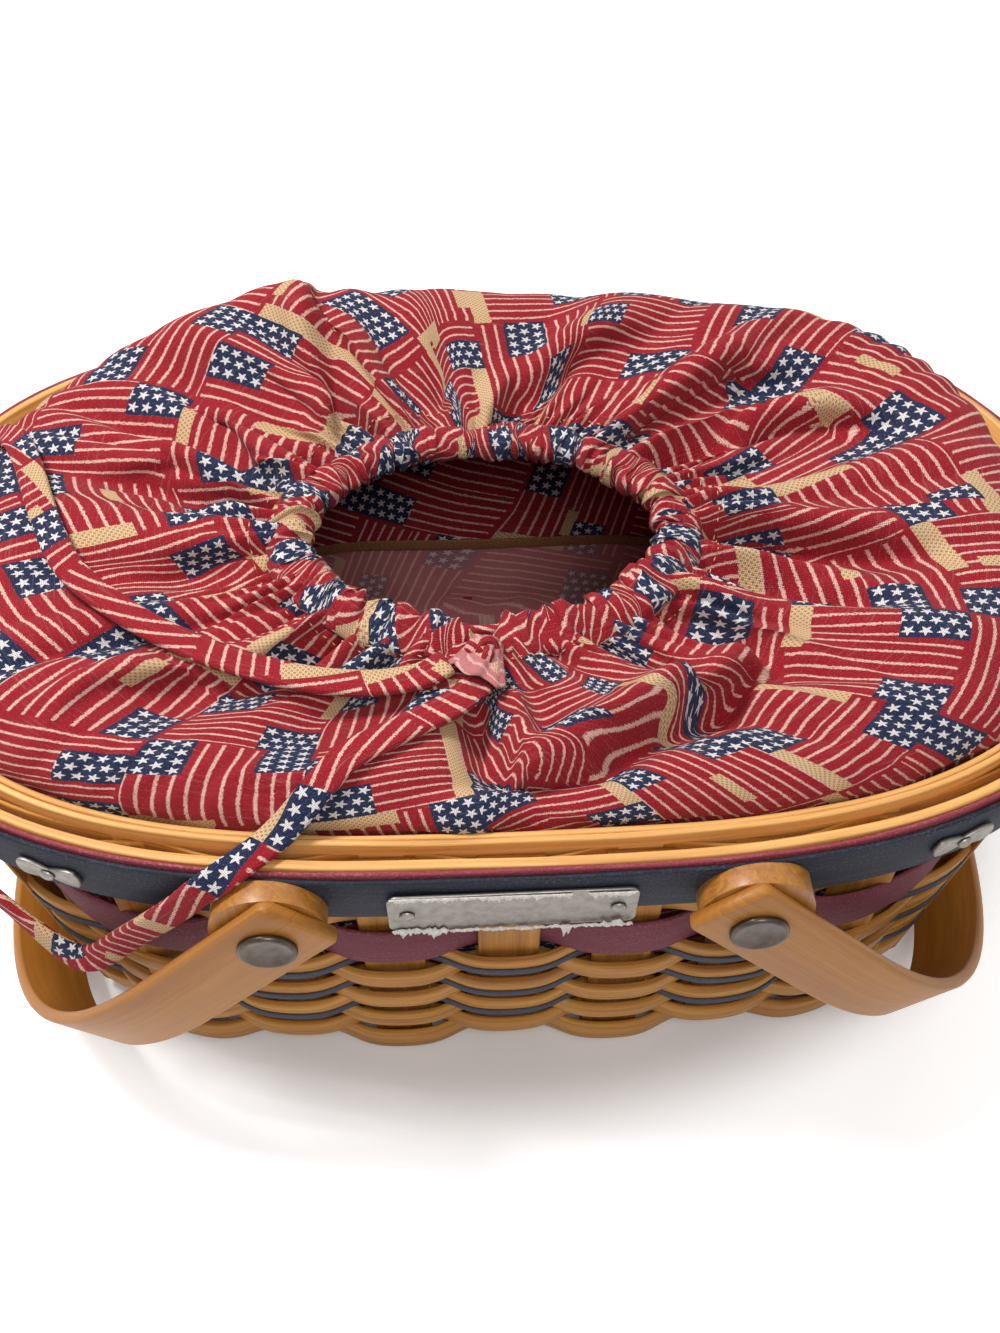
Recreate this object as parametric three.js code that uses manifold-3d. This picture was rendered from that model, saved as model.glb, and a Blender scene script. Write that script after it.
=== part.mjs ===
// Oval splint basket with two swing handles, a banded rim and a gathered cloth liner.
// Millimetres, +Z up, origin on the table under the middle of the basket, front towards -Y.
import * as THREE from 'three';
import * as BufferGeometryUtils from 'three/addons/utils/BufferGeometryUtils.js';
import Module from 'manifold-3d';

const wasm = await Module();
wasm.setup();

// Basket body
const basketHeight = 117;
const rimHalfLength = 163;
const rimHalfWidth = 104;
const rimSquareness = 2.85;
const footHalfLength = 134;
const footHalfWidth = 94.5;
const footSquareness = 4.2;
const gap = 0.3;

// Splints
const splintWidth = 16;
const uprightThickness = 0.8;
const groundSplintThickness = 1.4;
const crossSplintsAtX = [-90, -60, -30, 0, 30, 60, 90];
const longSplintsAtY = [-58, -29, 0, 29, 58];
const weaverThickness = 1.1;
const narrowWeaverCount = 8;
const narrowWeaverBottom = 3.6;
const narrowWeaverTop = 60;
const wideWeaverTop = 78;
const uprightTopBelowRim = 1;

// Rim bands, from outside to inside
const bandHeight = 18.5;
const navyBandThickness = 1.3;
const redBandThickness = 1.1;
const outerBandThickness = 2.2;
const innerBandThickness = 1.5;
const liningBandThickness = 1.3;
const navyBandDrop = 1.2;

// Swing handles
const pivotHalfSpacing = 56;
const pivotBelowRim = 14.5;
const handleReach = 125;
const handleWidth = 22;
const handleThickness = 3.4;
const handleStraightLeg = 32;
const handleRoundness = 2.5;
const handleEndBeyondPivot = 12.8;
const handleHangAngle = 47;
const handleWallClearance = 0.5;
const earWidth = 27;
const earHeight = 30;
const earFaceAtY = 107.8;
const rivetHeadRadius = 6.9;
const rivetHeadHeight = 1.6;
const rivetShankRadius = 2.6;
const rivetBurrRadius = 4.6;
const rivetBurrThickness = 0.9;
const rivetHoleClearance = 0.3;
const handleHoleClearance = 0.5;

// Name plate and ornaments
const plateWidth = 58;
const plateHeight = 17;
const plateThickness = 1;
const plateCornerRadius = 2.5;
const plateMiddleBelowRim = 14.4;
const plateNailSpacing = 49;
const nailHeadRadius = 1.9;
const nailHeadHeight = 1;
const ornamentAtX = 107;
const ornamentBelowRim = 10.5;
const ornamentLength = 17;
const ornamentWing = 8;
const ornamentWaist = 3;
const ornamentThickness = 1.2;

// Cloth liner
const linerWall = 1.6;
const linerClearance = 2;
const linerFootRadius = 10;
const neckHalfLength = 50;
const neckHalfWidth = 36;
const neckAtX = -3;
const neckAtY = -6;
const neckAboveRim = 8.4;
// The cloth falls in folds from the neck: where each ridge lies, in degrees, and its swell above the rim
const linerRidges = [
  [8, 15], [31, 15.5], [54, 23], [76, 27], [95, 32], [109, 37], [127, 30], [142, 21], [158, 16],
  [178, 15], [199, 14.5], [220, 13.3], [241, 11.9], [262, 11], [284, 11.2], [307, 12.4], [331, 14],
];
const linerValleyDepth = 5;
const casingHalfDepth = 3.8;
const casingHeight = 7.6;
const casingWall = 1.2;
const drawstringRadius = 1.9;
const tieWidth = 7.5;
const tieThickness = 2.4;
const tieStep = 4;
const tieKnotSize = [9, 8.4, 7];
const neckKnotSize = [13, 7.8, 6.8];
// Heights of knots and ties are above the rim
const neckKnotPlace = [-5, -50.6, 15.1];

// Each row is a point in the middle of a tie and the direction its flat face looks in
const leftTieRoute = [
  [-13.4, -52.4, 13.8, 0, 0, 1],
  [-20, -55.6, 12.9, 0, 0, 1],
  [-29.3, -57.2, 12.8, 0, 0, 1],
  [-39, -56.8, 12.9, 0, 0, 1],
  [-48.6, -55.2, 13.2, 0, 0, 1],
  [-59.6, -51.8, 13.7, 0.05, 0, 1],
  [-68, -48.6, 14.2, 0.05, 0, 1],
  [-76.3, -44.6, 14.7, 0.05, 0, 1],
  [-86.5, -38.8, 15.5, 0.06, 0, 1],
  [-95.3, -32.2, 16.1, 0.05, 0, 1],
  [-103.5, -25, 16.8, 0, 0, 1],
  [-110, -16.5, 17.1, 0, 0, 1],
  [-115.4, -5.1, 17.2, 0, 0, 1],
  [-119.6, 5, 17.1, -0.05, 0, 1],
  [-123.2, 14.9, 16.8, -0.11, 0, 0.99],
  [-127, 24, 16.3, -0.2, 0.03, 0.98],
  [-131.5, 32.5, 14.9, -0.33, 0.06, 0.94],
  [-137, 38.5, 11.3, -0.6, 0.15, 0.8],
  [-141.8, 42.5, 6.6, -0.7, 0.2, 0.68],
  [-146.5, 45.6, 3, -0.35, 0.1, 0.93],
  [-150.6, 48.4, 1.9, -0.1, 0, 1],
  [-154.6, 51.2, 1.2, -0.6, 0.25, 0.75],
  [-156.9, 53, -2.8, -0.92, 0.36, 0.15],
  [-156.9, 53.9, -9, -0.92, 0.38, 0],
  [-156.5, 54.1, -17, -0.92, 0.38, 0],
  [-156.3, 54.1, -25, -0.92, 0.38, 0],
  [-156.2, 54.1, -33, -0.92, 0.38, 0],
  [-156.1, 54.1, -41, -0.92, 0.38, 0],
  [-156.1, 54.1, -49, -0.92, 0.38, 0],
];
const leftTieKnotPlace = [-156.1, 54.1, -53.4];
const frontTieRoute = [
  [-5.6, -57.8, 13, 0, -0.2, 1],
  [-12, -64.2, 12.9, 0, 0, 1],
  [-23.5, -71, 13.1, 0, 0.05, 1],
  [-35.6, -77.8, 12.9, 0, -0.15, 1],
  [-40.8, -82.6, 11.6, 0, -0.35, 0.92],
  [-45.8, -87.2, 8.4, -0.05, -0.65, 0.76],
  [-50.8, -91.2, 4.5, -0.05, -0.6, 0.8],
  [-56.2, -95.3, 2.3, 0, -0.2, 1],
  [-61.6, -99.6, 1.8, 0, -0.25, 1],
  [-66.4, -102.5, 0.2, -0.1, -0.8, 0.6],
  [-70.8, -103.5, -2.8, -0.1, -1, 0.15],
  [-75.2, -103.3, -8.2, -0.15, -1, 0],
  [-80.4, -102.4, -14.6, -0.2, -1, 0],
  [-86.2, -101.1, -21.6, -0.2, -1, 0],
  [-92, -99.8, -28.6, -0.2, -1, 0],
  [-97.3, -98.8, -35.1, -0.25, -1, 0.1],
  [-101.8, -98, -40.2, -0.3, -1, 0.3],
  [-106.2, -96.9, -42.6, -0.3, -0.9, 0.45],
  [-110.8, -95, -41.6, -0.4, -0.9, 0.3],
  [-115.8, -92.2, -38.2, -0.5, -0.9, 0.15],
  [-121.5, -88.6, -34.1, -0.6, -0.85, 0],
  [-127.3, -84.7, -30.2, -0.65, -0.8, 0],
];
const frontTieKnotPlace = [-130.5, -82.3, -27.9];

// Depths inward from the outside of the rim
const redBandDepth = navyBandThickness + gap;
const outerBandDepth = redBandDepth + redBandThickness + gap;
const weaverDepth = outerBandDepth + outerBandThickness + gap;
const uprightDepth = weaverDepth + weaverThickness + gap;
const innerBandDepth = uprightDepth + uprightThickness + gap;
const liningBandDepth = innerBandDepth + innerBandThickness + gap;
const liningBandEnd = liningBandDepth + liningBandThickness;
const linerDepth = liningBandEnd + rivetBurrThickness + linerClearance;

const colours = {
  wood: [0xc68a48, 0.55, 0],
  paleWood: [0xd9a763, 0.55, 0],
  handleWood: [0xb9803f, 0.45, 0],
  navy: [0x2b3145, 0.7, 0],
  burgundy: [0x8a3f52, 0.7, 0],
  pewter: [0x6d6863, 0.4, 1],
  steel: [0xb8b5b0, 0.35, 1],
  cloth: [0xa84048, 0.95, 0],
};

const basket = new THREE.Group();

function addMesh(name, geometry, colour, parent = basket) {
  const [hex, roughness, metalness] = colours[colour];
  const material = new THREE.MeshStandardMaterial({ color: hex, roughness, metalness });
  const mesh = new THREE.Mesh(geometry, material);
  mesh.name = name;
  parent.add(mesh);
  return mesh;
}

// Conversions between closed geometries and solids that can be joined and cut
function toSolid(geometry) {
  const bare = geometry.clone();
  bare.deleteAttribute('normal');
  bare.deleteAttribute('uv');
  const merged = BufferGeometryUtils.mergeVertices(bare, 1e-4);
  return new wasm.Manifold(new wasm.Mesh({
    numProp: 3,
    vertProperties: new Float32Array(merged.attributes.position.array),
    triVerts: new Uint32Array(merged.index.array),
  }));
}

function toGeometry(solid) {
  const mesh = solid.getMesh();
  const geometry = new THREE.BufferGeometry();
  geometry.setAttribute('position', new THREE.BufferAttribute(new Float32Array(mesh.vertProperties), 3));
  geometry.setIndex(new THREE.BufferAttribute(new Uint32Array(mesh.triVerts), 1));
  geometry.computeVertexNormals();
  return geometry;
}

// Ovals of the foot and the rim, drawn in by a depth
const footOval = (depth) => ({ a: footHalfLength - depth, b: footHalfWidth - depth, n: footSquareness });
const rimOval = (depth) => ({ a: rimHalfLength - depth, b: rimHalfWidth - depth, n: rimSquareness });

function ovalPoint(oval, angle) {
  const c = Math.cos(angle);
  const s = Math.sin(angle);
  return [
    oval.a * Math.sign(c) * Math.abs(c) ** (2 / oval.n),
    oval.b * Math.sign(s) * Math.abs(s) ** (2 / oval.n),
  ];
}

const angleAtX = (oval, x) => Math.acos((x / oval.a) ** (oval.n / 2));
const angleAtY = (oval, y) => Math.asin((y / oval.b) ** (oval.n / 2));

// A quarter of an oval, with corners where the uprights' edges and middles are
function quarter(oval) {
  const half = splintWidth / 2;
  const lastCross = crossSplintsAtX.at(-1);
  const lastLong = longSplintsAtY.at(-1);
  const alongEnd = [0, lastLong / 2, lastLong - half, lastLong, lastLong + half];
  const alongSide = [lastCross + half, lastCross, lastCross - half, ...crossSplintsAtX.slice(3, -1).reverse()];
  const endAngles = alongEnd.map((y) => angleAtY(oval, y));
  const sideAngles = alongSide.map((x) => angleAtX(oval, x));
  const corner = [0.25, 0.5, 0.75].map((t) => THREE.MathUtils.lerp(endAngles.at(-1), sideAngles[0], t));
  return [...endAngles, ...corner, ...sideAngles].map((angle) => ovalPoint(oval, angle));
}

// The quarter at a height runs straight from the foot's corners to the rim's
function quarterAt(z, depth) {
  const foot = quarter(footOval(depth));
  const rim = quarter(rimOval(depth));
  const rise = z / basketHeight;
  return foot.map(([x, y], i) => [x + (rim[i][0] - x) * rise, y + (rim[i][1] - y) * rise]);
}

function outlineAt(z, depth) {
  const points = quarterAt(z, depth);
  const withoutLast = points.slice(0, -1);
  const withoutFirst = points.slice(1).reverse();
  return [
    ...withoutLast,
    ...withoutFirst.map(([x, y]) => [-x, y]),
    ...withoutLast.map(([x, y]) => [-x, -y]),
    ...withoutFirst.map(([x, y]) => [x, -y]),
  ];
}

// How far from the middle the outline stands, at a place along the basket (axis 0) or across it (1)
function reachAt(z, depth, place, axis) {
  const points = quarterAt(z, depth);
  if (axis === 0) points.reverse();
  const next = points.findIndex((point, i) => i > 0 && point[axis] >= Math.abs(place) - 1e-9);
  const [from, to] = [points[next - 1], points[next]];
  const share = (Math.abs(place) - from[axis]) / (to[axis] - from[axis]);
  return THREE.MathUtils.lerp(from[1 - axis], to[1 - axis], share);
}

// Joins equal loops of points into a closed skin; the last loop joins the first or both get a cap
function skin(loops, closedTube) {
  const count = loops[0].length;
  const positions = loops.flat(2);
  const index = [];
  const rows = closedTube ? loops.length : loops.length - 1;
  for (let row = 0; row < rows; row += 1) {
    const next = (row + 1) % loops.length;
    for (let i = 0; i < count; i += 1) {
      const j = (i + 1) % count;
      const [p, q, r, s] = [row * count + i, row * count + j, next * count + j, next * count + i];
      index.push(p, q, r, p, r, s);
    }
  }
  if (!closedTube) {
    for (let i = 1; i < count - 1; i += 1) {
      const top = (loops.length - 1) * count;
      index.push(0, i + 1, i, top, top + i, top + i + 1);
    }
  }
  const geometry = new THREE.BufferGeometry();
  geometry.setAttribute('position', new THREE.Float32BufferAttribute(positions, 3));
  geometry.setIndex(index);
  geometry.computeVertexNormals();
  return geometry;
}

const lift = (points, z) => points.map(([x, y]) => [x, y, z]);

// Heights where every tall piece gets a loop of corners, so that neighbours stay parallel
const sharedLevels = [30, narrowWeaverTop, wideWeaverTop, basketHeight - bandHeight];

function levelsBetween(bottom, top) {
  return [bottom, ...sharedLevels.filter((z) => z > bottom + 1 && z < top - 1), top];
}

// A band that runs once round the basket
function ring(depth, thickness, bottom, top) {
  const levels = levelsBetween(bottom, top);
  return skin([
    ...levels.map((z) => lift(outlineAt(z, depth), z)),
    ...levels.reverse().map((z) => lift(outlineAt(z, depth + thickness), z)),
  ], true);
}

function solidOval(depth, bottom, top) {
  return toSolid(skin([lift(outlineAt(bottom, depth), bottom), lift(outlineAt(top, depth), top)], false));
}

function cylinderAlongY(radius, x, z, yFrom, yTo, segments = 16) {
  const geometry = new THREE.CylinderGeometry(radius, radius, Math.abs(yTo - yFrom), segments);
  geometry.translate(x, (yFrom + yTo) / 2, z);
  return geometry;
}

const pivotHeight = basketHeight - pivotBelowRim;
const rivetReach = earFaceAtY + gap + handleThickness + gap;

function drill(geometry) {
  const radius = rivetShankRadius + rivetHoleClearance;
  const beyond = rivetReach + gap;
  return [-pivotHalfSpacing, pivotHalfSpacing].reduce(
    (solid, x) => solid.subtract(toSolid(cylinderAlongY(radius, x, pivotHeight, -beyond, beyond))),
    toSolid(geometry),
  );
}

// Splints: each lies across the floor and turns up the wall at both ends
const splintStations = (centre) => [centre - splintWidth / 2, centre, centre + splintWidth / 2];

function upright(centre, axis, side, bottom) {
  const loops = levelsBetween(bottom, basketHeight - uprightTopBelowRim).map((z) => {
    const face = (depth) => splintStations(centre).map((station) => {
      const reach = side * reachAt(z, depth, station, axis);
      return axis === 0 ? [station, reach, z] : [reach, station, z];
    });
    return [...face(uprightDepth), ...face(uprightDepth + uprightThickness).reverse()];
  });
  const clockwise = (side > 0) === (axis === 0);
  return skin(clockwise ? loops.map((loop) => loop.slice().reverse()) : loops, false);
}

function bentSplint(centre, axis, bottom) {
  const end = (side) => splintStations(centre).map((station) => {
    const reach = side * reachAt(bottom, uprightDepth + uprightThickness / 2, station, axis);
    return axis === 0 ? new THREE.Vector2(station, reach) : new THREE.Vector2(reach, station);
  });
  const outline = new THREE.Shape([...end(-1), ...end(1).reverse()]);
  const flat = new THREE.ExtrudeGeometry(outline, { depth: groundSplintThickness, bevelEnabled: false });
  flat.translate(0, 0, bottom);
  return [-1, 1].reduce((solid, side) => solid.add(toSolid(upright(centre, axis, side, bottom))), toSolid(flat));
}

function addSplints() {
  crossSplintsAtX.forEach((x, number) => {
    const solid = bentSplint(x, 0, groundSplintThickness + gap);
    const crossesRivet = Math.abs(Math.abs(x) - pivotHalfSpacing) < splintWidth / 2 + rivetShankRadius;
    const finished = crossesRivet ? drill(toGeometry(solid)) : solid;
    addMesh(`cross_splint_${number + 1}`, toGeometry(finished), 'wood');
  });
  longSplintsAtY.forEach((y, number) => {
    addMesh(`long_splint_${number + 1}`, toGeometry(bentSplint(y, 1, 0)), 'wood');
  });
}

// Weavers: eight narrow rows, one wide coloured row and the row that the rim bands clasp
function addWeavers() {
  const pitch = (narrowWeaverTop - narrowWeaverBottom) / narrowWeaverCount;
  for (let row = 0; row < narrowWeaverCount; row += 1) {
    const bottom = narrowWeaverBottom + row * pitch;
    const geometry = ring(weaverDepth, weaverThickness, bottom, bottom + pitch - gap);
    addMesh(`narrow_weaver_${row + 1}`, geometry, row % 2 ? 'wood' : 'paleWood');
  }
  const wide = ring(weaverDepth, weaverThickness, narrowWeaverTop, wideWeaverTop - gap);
  addMesh('wide_coloured_weaver', wide, 'burgundy');
  const top = ring(weaverDepth, weaverThickness, wideWeaverTop, basketHeight - 2 * uprightTopBelowRim);
  addMesh('top_weaver', toGeometry(drill(top)), 'wood');
}

function addRimBands() {
  const bottom = basketHeight - bandHeight;
  const bands = [
    ['rim_navy_band', 0, navyBandThickness, navyBandDrop, 'navy'],
    ['rim_coloured_band', redBandDepth, redBandThickness, navyBandDrop / 2, 'burgundy'],
    ['rim_outer_band', outerBandDepth, outerBandThickness, 0, 'paleWood'],
    ['rim_inner_band', innerBandDepth, innerBandThickness, 0, 'paleWood'],
    ['rim_lining_band', liningBandDepth, liningBandThickness, 0, 'paleWood'],
  ];
  bands.forEach(([name, depth, thickness, drop, colour]) => {
    const geometry = ring(depth, thickness, bottom, basketHeight - drop);
    addMesh(name, toGeometry(drill(geometry)), colour);
  });
}

// Ears: round-topped tabs between the rim and the handles
function earShape() {
  const radius = earWidth / 2;
  const shape = new THREE.Shape();
  shape.moveTo(-radius, -(earHeight - radius));
  shape.lineTo(radius, -(earHeight - radius));
  shape.lineTo(radius, 0);
  shape.absarc(0, 0, radius, 0, Math.PI, false);
  return shape;
}

function addEars() {
  const rimBody = solidOval(-gap, basketHeight - 2 * earHeight, basketHeight + earHeight);
  const inside = rimHalfWidth - 8;
  [['left', -1], ['right', 1]].forEach(([end, xSide]) => {
    [['front', -1], ['back', 1]].forEach(([face, ySide]) => {
      const geometry = new THREE.ExtrudeGeometry(earShape(), {
        depth: earFaceAtY - inside,
        bevelEnabled: false,
        curveSegments: 14,
      });
      geometry.rotateX(Math.PI / 2);
      const nearest = ySide < 0 ? -inside : earFaceAtY;
      geometry.translate(xSide * pivotHalfSpacing, nearest, basketHeight - earWidth / 2);
      const solid = toSolid(geometry).subtract(rimBody);
      addMesh(`ear_${end}_${face}`, toGeometry(drill(toGeometry(solid))), 'handleWood');
    });
  });
}

// Handles: a flat strip bent round the end of the basket, with both ends on the rivets
function handleOutline(offset) {
  const straightEnd = handleStraightLeg;
  const halfWidth = earFaceAtY + gap + handleThickness / 2 + offset;
  const reach = handleReach + offset - straightEnd;
  const points = [];
  const steps = 28;
  for (let i = 0; i <= steps; i += 1) {
    const angle = THREE.MathUtils.lerp(-Math.PI / 2, Math.PI / 2, i / steps);
    const c = Math.max(0, Math.cos(angle)) ** (2 / handleRoundness);
    const s = Math.sign(Math.sin(angle)) * Math.abs(Math.sin(angle)) ** (2 / handleRoundness);
    points.push(new THREE.Vector2(straightEnd + reach * c, halfWidth * s));
  }
  points.unshift(new THREE.Vector2(-handleEndBeyondPivot, -halfWidth));
  points.push(new THREE.Vector2(-handleEndBeyondPivot, halfWidth));
  return points;
}

function handleGeometry() {
  const outer = handleOutline(handleThickness / 2);
  const inner = handleOutline(-handleThickness / 2);
  const shape = new THREE.Shape([...outer, ...inner.reverse()]);
  const geometry = new THREE.ExtrudeGeometry(shape, { depth: handleWidth, bevelEnabled: false });
  geometry.translate(0, 0, -handleWidth / 2);
  const hole = cylinderAlongY(rivetShankRadius + handleHoleClearance, 0, 0, -rivetReach, rivetReach);
  return toGeometry(toSolid(geometry).subtract(toSolid(hole)));
}

// The steepest angle, in degrees below the level, at which the bow still clears the sides of the basket
function hangAngle() {
  const bow = handleOutline(-handleThickness / 2).slice(1, -1);
  const touches = (degrees) => {
    const angle = THREE.MathUtils.degToRad(degrees);
    return bow.some(({ x: along, y }) => [-handleWidth / 2, handleWidth / 2].some((across) => {
      const x = pivotHalfSpacing + along * Math.cos(angle) + across * Math.sin(angle);
      const z = pivotHeight - along * Math.sin(angle) + across * Math.cos(angle);
      const rise = Math.min(1, z / basketHeight);
      const rim = rimOval(weaverDepth - handleWallClearance);
      const foot = footOval(weaverDepth - handleWallClearance);
      const [a, b, n] = ['a', 'b', 'n'].map((key) => THREE.MathUtils.lerp(foot[key], rim[key], rise));
      return z < basketHeight && (Math.abs(x) / a) ** n + (Math.abs(y) / b) ** n < 1;
    }));
  };
  let degrees = handleHangAngle;
  while (degrees > 0 && touches(degrees)) {
    degrees -= 1;
  }
  return THREE.MathUtils.degToRad(degrees);
}

function addHandles() {
  const angle = hangAngle();
  [['left', -1], ['right', 1]].forEach(([end, side]) => {
    const hinge = new THREE.Group();
    hinge.position.set(side * pivotHalfSpacing, 0, pivotHeight);
    hinge.rotation.y = side < 0 ? Math.PI - angle : angle;
    basket.add(hinge);
    addMesh(`handle_${end}`, handleGeometry(), 'handleWood', hinge);
  });
}

// Rivets: a low domed head outside, a shank through handle, ear and rim, and a burr inside
function rivetGeometry() {
  const furthest = pivotHalfSpacing + rivetBurrRadius;
  const insideAtY = reachAt(pivotHeight - rivetBurrRadius, liningBandEnd, furthest, 0);
  const shankLength = rivetReach - insideAtY + gap;
  const profile = [new THREE.Vector2(0, -shankLength - rivetBurrThickness)];
  profile.push(new THREE.Vector2(rivetBurrRadius, -shankLength - rivetBurrThickness));
  profile.push(new THREE.Vector2(rivetBurrRadius, -shankLength));
  profile.push(new THREE.Vector2(rivetShankRadius, -shankLength));
  profile.push(new THREE.Vector2(rivetShankRadius, 0));
  for (let i = 0; i <= 5; i += 1) {
    const angle = (i / 5) * (Math.PI / 2);
    profile.push(new THREE.Vector2(rivetHeadRadius * Math.cos(angle), rivetHeadHeight * Math.sin(angle)));
  }
  profile.at(-1).x = 0;
  const geometry = new THREE.LatheGeometry(profile, 20);
  geometry.translate(0, rivetReach, 0);
  return toGeometry(toSolid(geometry));
}

function addRivets() {
  [['left', -1], ['right', 1]].forEach(([end, xSide]) => {
    [['front', -1], ['back', 1]].forEach(([face, ySide]) => {
      const rivet = addMesh(`rivet_${end}_${face}`, rivetGeometry(), 'pewter');
      rivet.position.set(xSide * pivotHalfSpacing, 0, pivotHeight);
      rivet.rotation.z = ySide < 0 ? Math.PI : 0;
    });
  });
}

// Small pieces on the navy band stand in groups whose +Z points away from the band
function bandGroup(x, z, clearance) {
  const reach = (atX, atZ) => reachAt(atZ, 0, atX, 0);
  const along = new THREE.Vector3(1, -(reach(x + 1, z) - reach(x, z)), 0).normalize();
  const up = new THREE.Vector3(0, -(reach(x, z + 1) - reach(x, z)), 1).normalize();
  const out = new THREE.Vector3().crossVectors(along, up).normalize();
  up.crossVectors(out, along);
  const group = new THREE.Group();
  group.position.set(x, -reach(x, z), z).addScaledVector(out, clearance);
  group.quaternion.setFromRotationMatrix(new THREE.Matrix4().makeBasis(along, up, out));
  basket.add(group);
  return group;
}

function nailGeometry() {
  const profile = [new THREE.Vector2(0, 0)];
  for (let i = 0; i <= 4; i += 1) {
    const angle = (i / 4) * (Math.PI / 2);
    profile.push(new THREE.Vector2(nailHeadRadius * Math.cos(angle), nailHeadHeight * Math.sin(angle)));
  }
  profile.at(-1).x = 0;
  const geometry = new THREE.LatheGeometry(profile, 12);
  geometry.rotateX(Math.PI / 2);
  return toGeometry(toSolid(geometry));
}

function addPlate() {
  const group = bandGroup(0, basketHeight - plateMiddleBelowRim, gap);
  const [w, h, r] = [plateWidth / 2, plateHeight / 2, plateCornerRadius];
  const shape = new THREE.Shape();
  shape.absarc(w - r, h - r, r, 0, Math.PI / 2, false);
  shape.absarc(r - w, h - r, r, Math.PI / 2, Math.PI, false);
  shape.absarc(r - w, r - h, r, Math.PI, 1.5 * Math.PI, false);
  shape.absarc(w - r, r - h, r, 1.5 * Math.PI, 2 * Math.PI, false);
  const geometry = new THREE.ExtrudeGeometry(shape, { depth: plateThickness, bevelEnabled: false, curveSegments: 4 });
  addMesh('plate', geometry, 'steel', group);
  [['left', -1], ['right', 1]].forEach(([end, side]) => {
    const nail = addMesh(`plate_nail_${end}`, nailGeometry(), 'steel', group);
    nail.position.set(side * plateNailSpacing / 2, 0, plateThickness + gap);
  });
}

function ornamentShape() {
  const [l, w, c] = [ornamentLength / 2, ornamentWing / 2, ornamentWaist / 2];
  const shape = new THREE.Shape();
  shape.moveTo(0, c);
  shape.quadraticCurveTo(0.5 * l, w, 0.85 * l, 0.8 * w);
  shape.quadraticCurveTo(1.1 * l, 0, 0.85 * l, -0.8 * w);
  shape.quadraticCurveTo(0.5 * l, -w, 0, -c);
  shape.quadraticCurveTo(-0.5 * l, -w, -0.85 * l, -0.8 * w);
  shape.quadraticCurveTo(-1.1 * l, 0, -0.85 * l, 0.8 * w);
  shape.quadraticCurveTo(-0.5 * l, w, 0, c);
  return shape;
}

function addOrnaments() {
  [['left', -1], ['right', 1]].forEach(([end, side]) => {
    const group = bandGroup(side * ornamentAtX, basketHeight - ornamentBelowRim, gap);
    const geometry = new THREE.ExtrudeGeometry(ornamentShape(), {
      depth: ornamentThickness,
      bevelEnabled: false,
      curveSegments: 4,
    });
    addMesh(`ornament_${end}`, toGeometry(toSolid(geometry)), 'steel', group);
    const nail = addMesh(`ornament_nail_${end}`, nailGeometry(), 'steel', group);
    nail.position.z = ornamentThickness + gap;
  });
}

// Liner: a cloth bag that lines the basket, swells over the rim and draws in to an oval neck
const neckOval = (outward) => ({ a: neckHalfLength + outward, b: neckHalfWidth + outward, n: 2 });
const linerEdgeOutward = casingHalfDepth + gap;
const linerEdgeAboveRim = neckAboveRim + casingHeight / 2;

// Four stations from each ridge to the next; valley is 0 on a ridge and 1 midway
const linerStations = linerRidges.flatMap(([angle, puff], i) => {
  const [nextAngle, nextPuff] = linerRidges[(i + 1) % linerRidges.length];
  const turn = (nextAngle - angle + 360) % 360;
  return [0, 0.25, 0.5, 0.75].map((part) => ({
    angle: THREE.MathUtils.degToRad(angle + turn * part),
    puff: THREE.MathUtils.lerp(puff, nextPuff, part),
    valley: Math.sin(Math.PI * part) ** 2,
  }));
});

// The folds are deepest between the rim and the neck
function foldDepth(share) {
  const { smoothstep } = THREE.MathUtils;
  return linerValleyDepth * smoothstep(share, 0.08, 0.5) * (1 - smoothstep(share, 0.7, 1));
}

// share 0 is at the rim, share 1 at the neck
function shoulderPoint({ angle, puff, valley }, share, inward) {
  const [rx, ry] = ovalPoint(rimOval(linerDepth + inward), angle);
  const [nx, ny] = ovalPoint(neckOval(linerEdgeOutward + inward), angle);
  const swell = Math.sin(Math.PI * Math.min(1, share ** 0.72)) ** 0.8;
  const aboveRim = linerEdgeAboveRim * share + swell * (puff - linerEdgeAboveRim * share);
  return [
    THREE.MathUtils.lerp(rx, nx + neckAtX, share),
    THREE.MathUtils.lerp(ry, ny + neckAtY, share),
    basketHeight + aboveRim - foldDepth(share) * valley - inward,
  ];
}

function wallPoint({ angle }, z, inward) {
  const [fx, fy] = ovalPoint(footOval(linerDepth + inward), angle);
  const [rx, ry] = ovalPoint(rimOval(linerDepth + inward), angle);
  const rise = z / basketHeight;
  return [THREE.MathUtils.lerp(fx, rx, rise), THREE.MathUtils.lerp(fy, ry, rise), z];
}

function addLiner() {
  const floor = 2 * groundSplintThickness + 3 * gap;
  const shares = [0.06, 0.14, 0.24, 0.36, 0.5, 0.64, 0.78, 0.9, 1];
  const side = (inward) => [
    linerStations.map((station) => wallPoint(station, floor + inward, linerFootRadius + inward)),
    linerStations.map((station) => wallPoint(station, floor + linerFootRadius, inward)),
    linerStations.map((station) => wallPoint(station, basketHeight - inward, inward)),
    ...shares.map((share) => linerStations.map((station) => shoulderPoint(station, share, inward))),
  ];
  addMesh('liner_bag', skin([...side(0), ...side(linerWall).reverse()], false), 'cloth');
}

// Casing: the hem round the neck, open towards the middle, with the drawstring lying in it
function neckRing(section) {
  return section.map(([outward, up]) => linerStations.map(({ angle }) => {
    const [x, y] = ovalPoint(neckOval(outward), angle);
    return [x + neckAtX, y + neckAtY, basketHeight + neckAboveRim + up];
  }));
}

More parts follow.
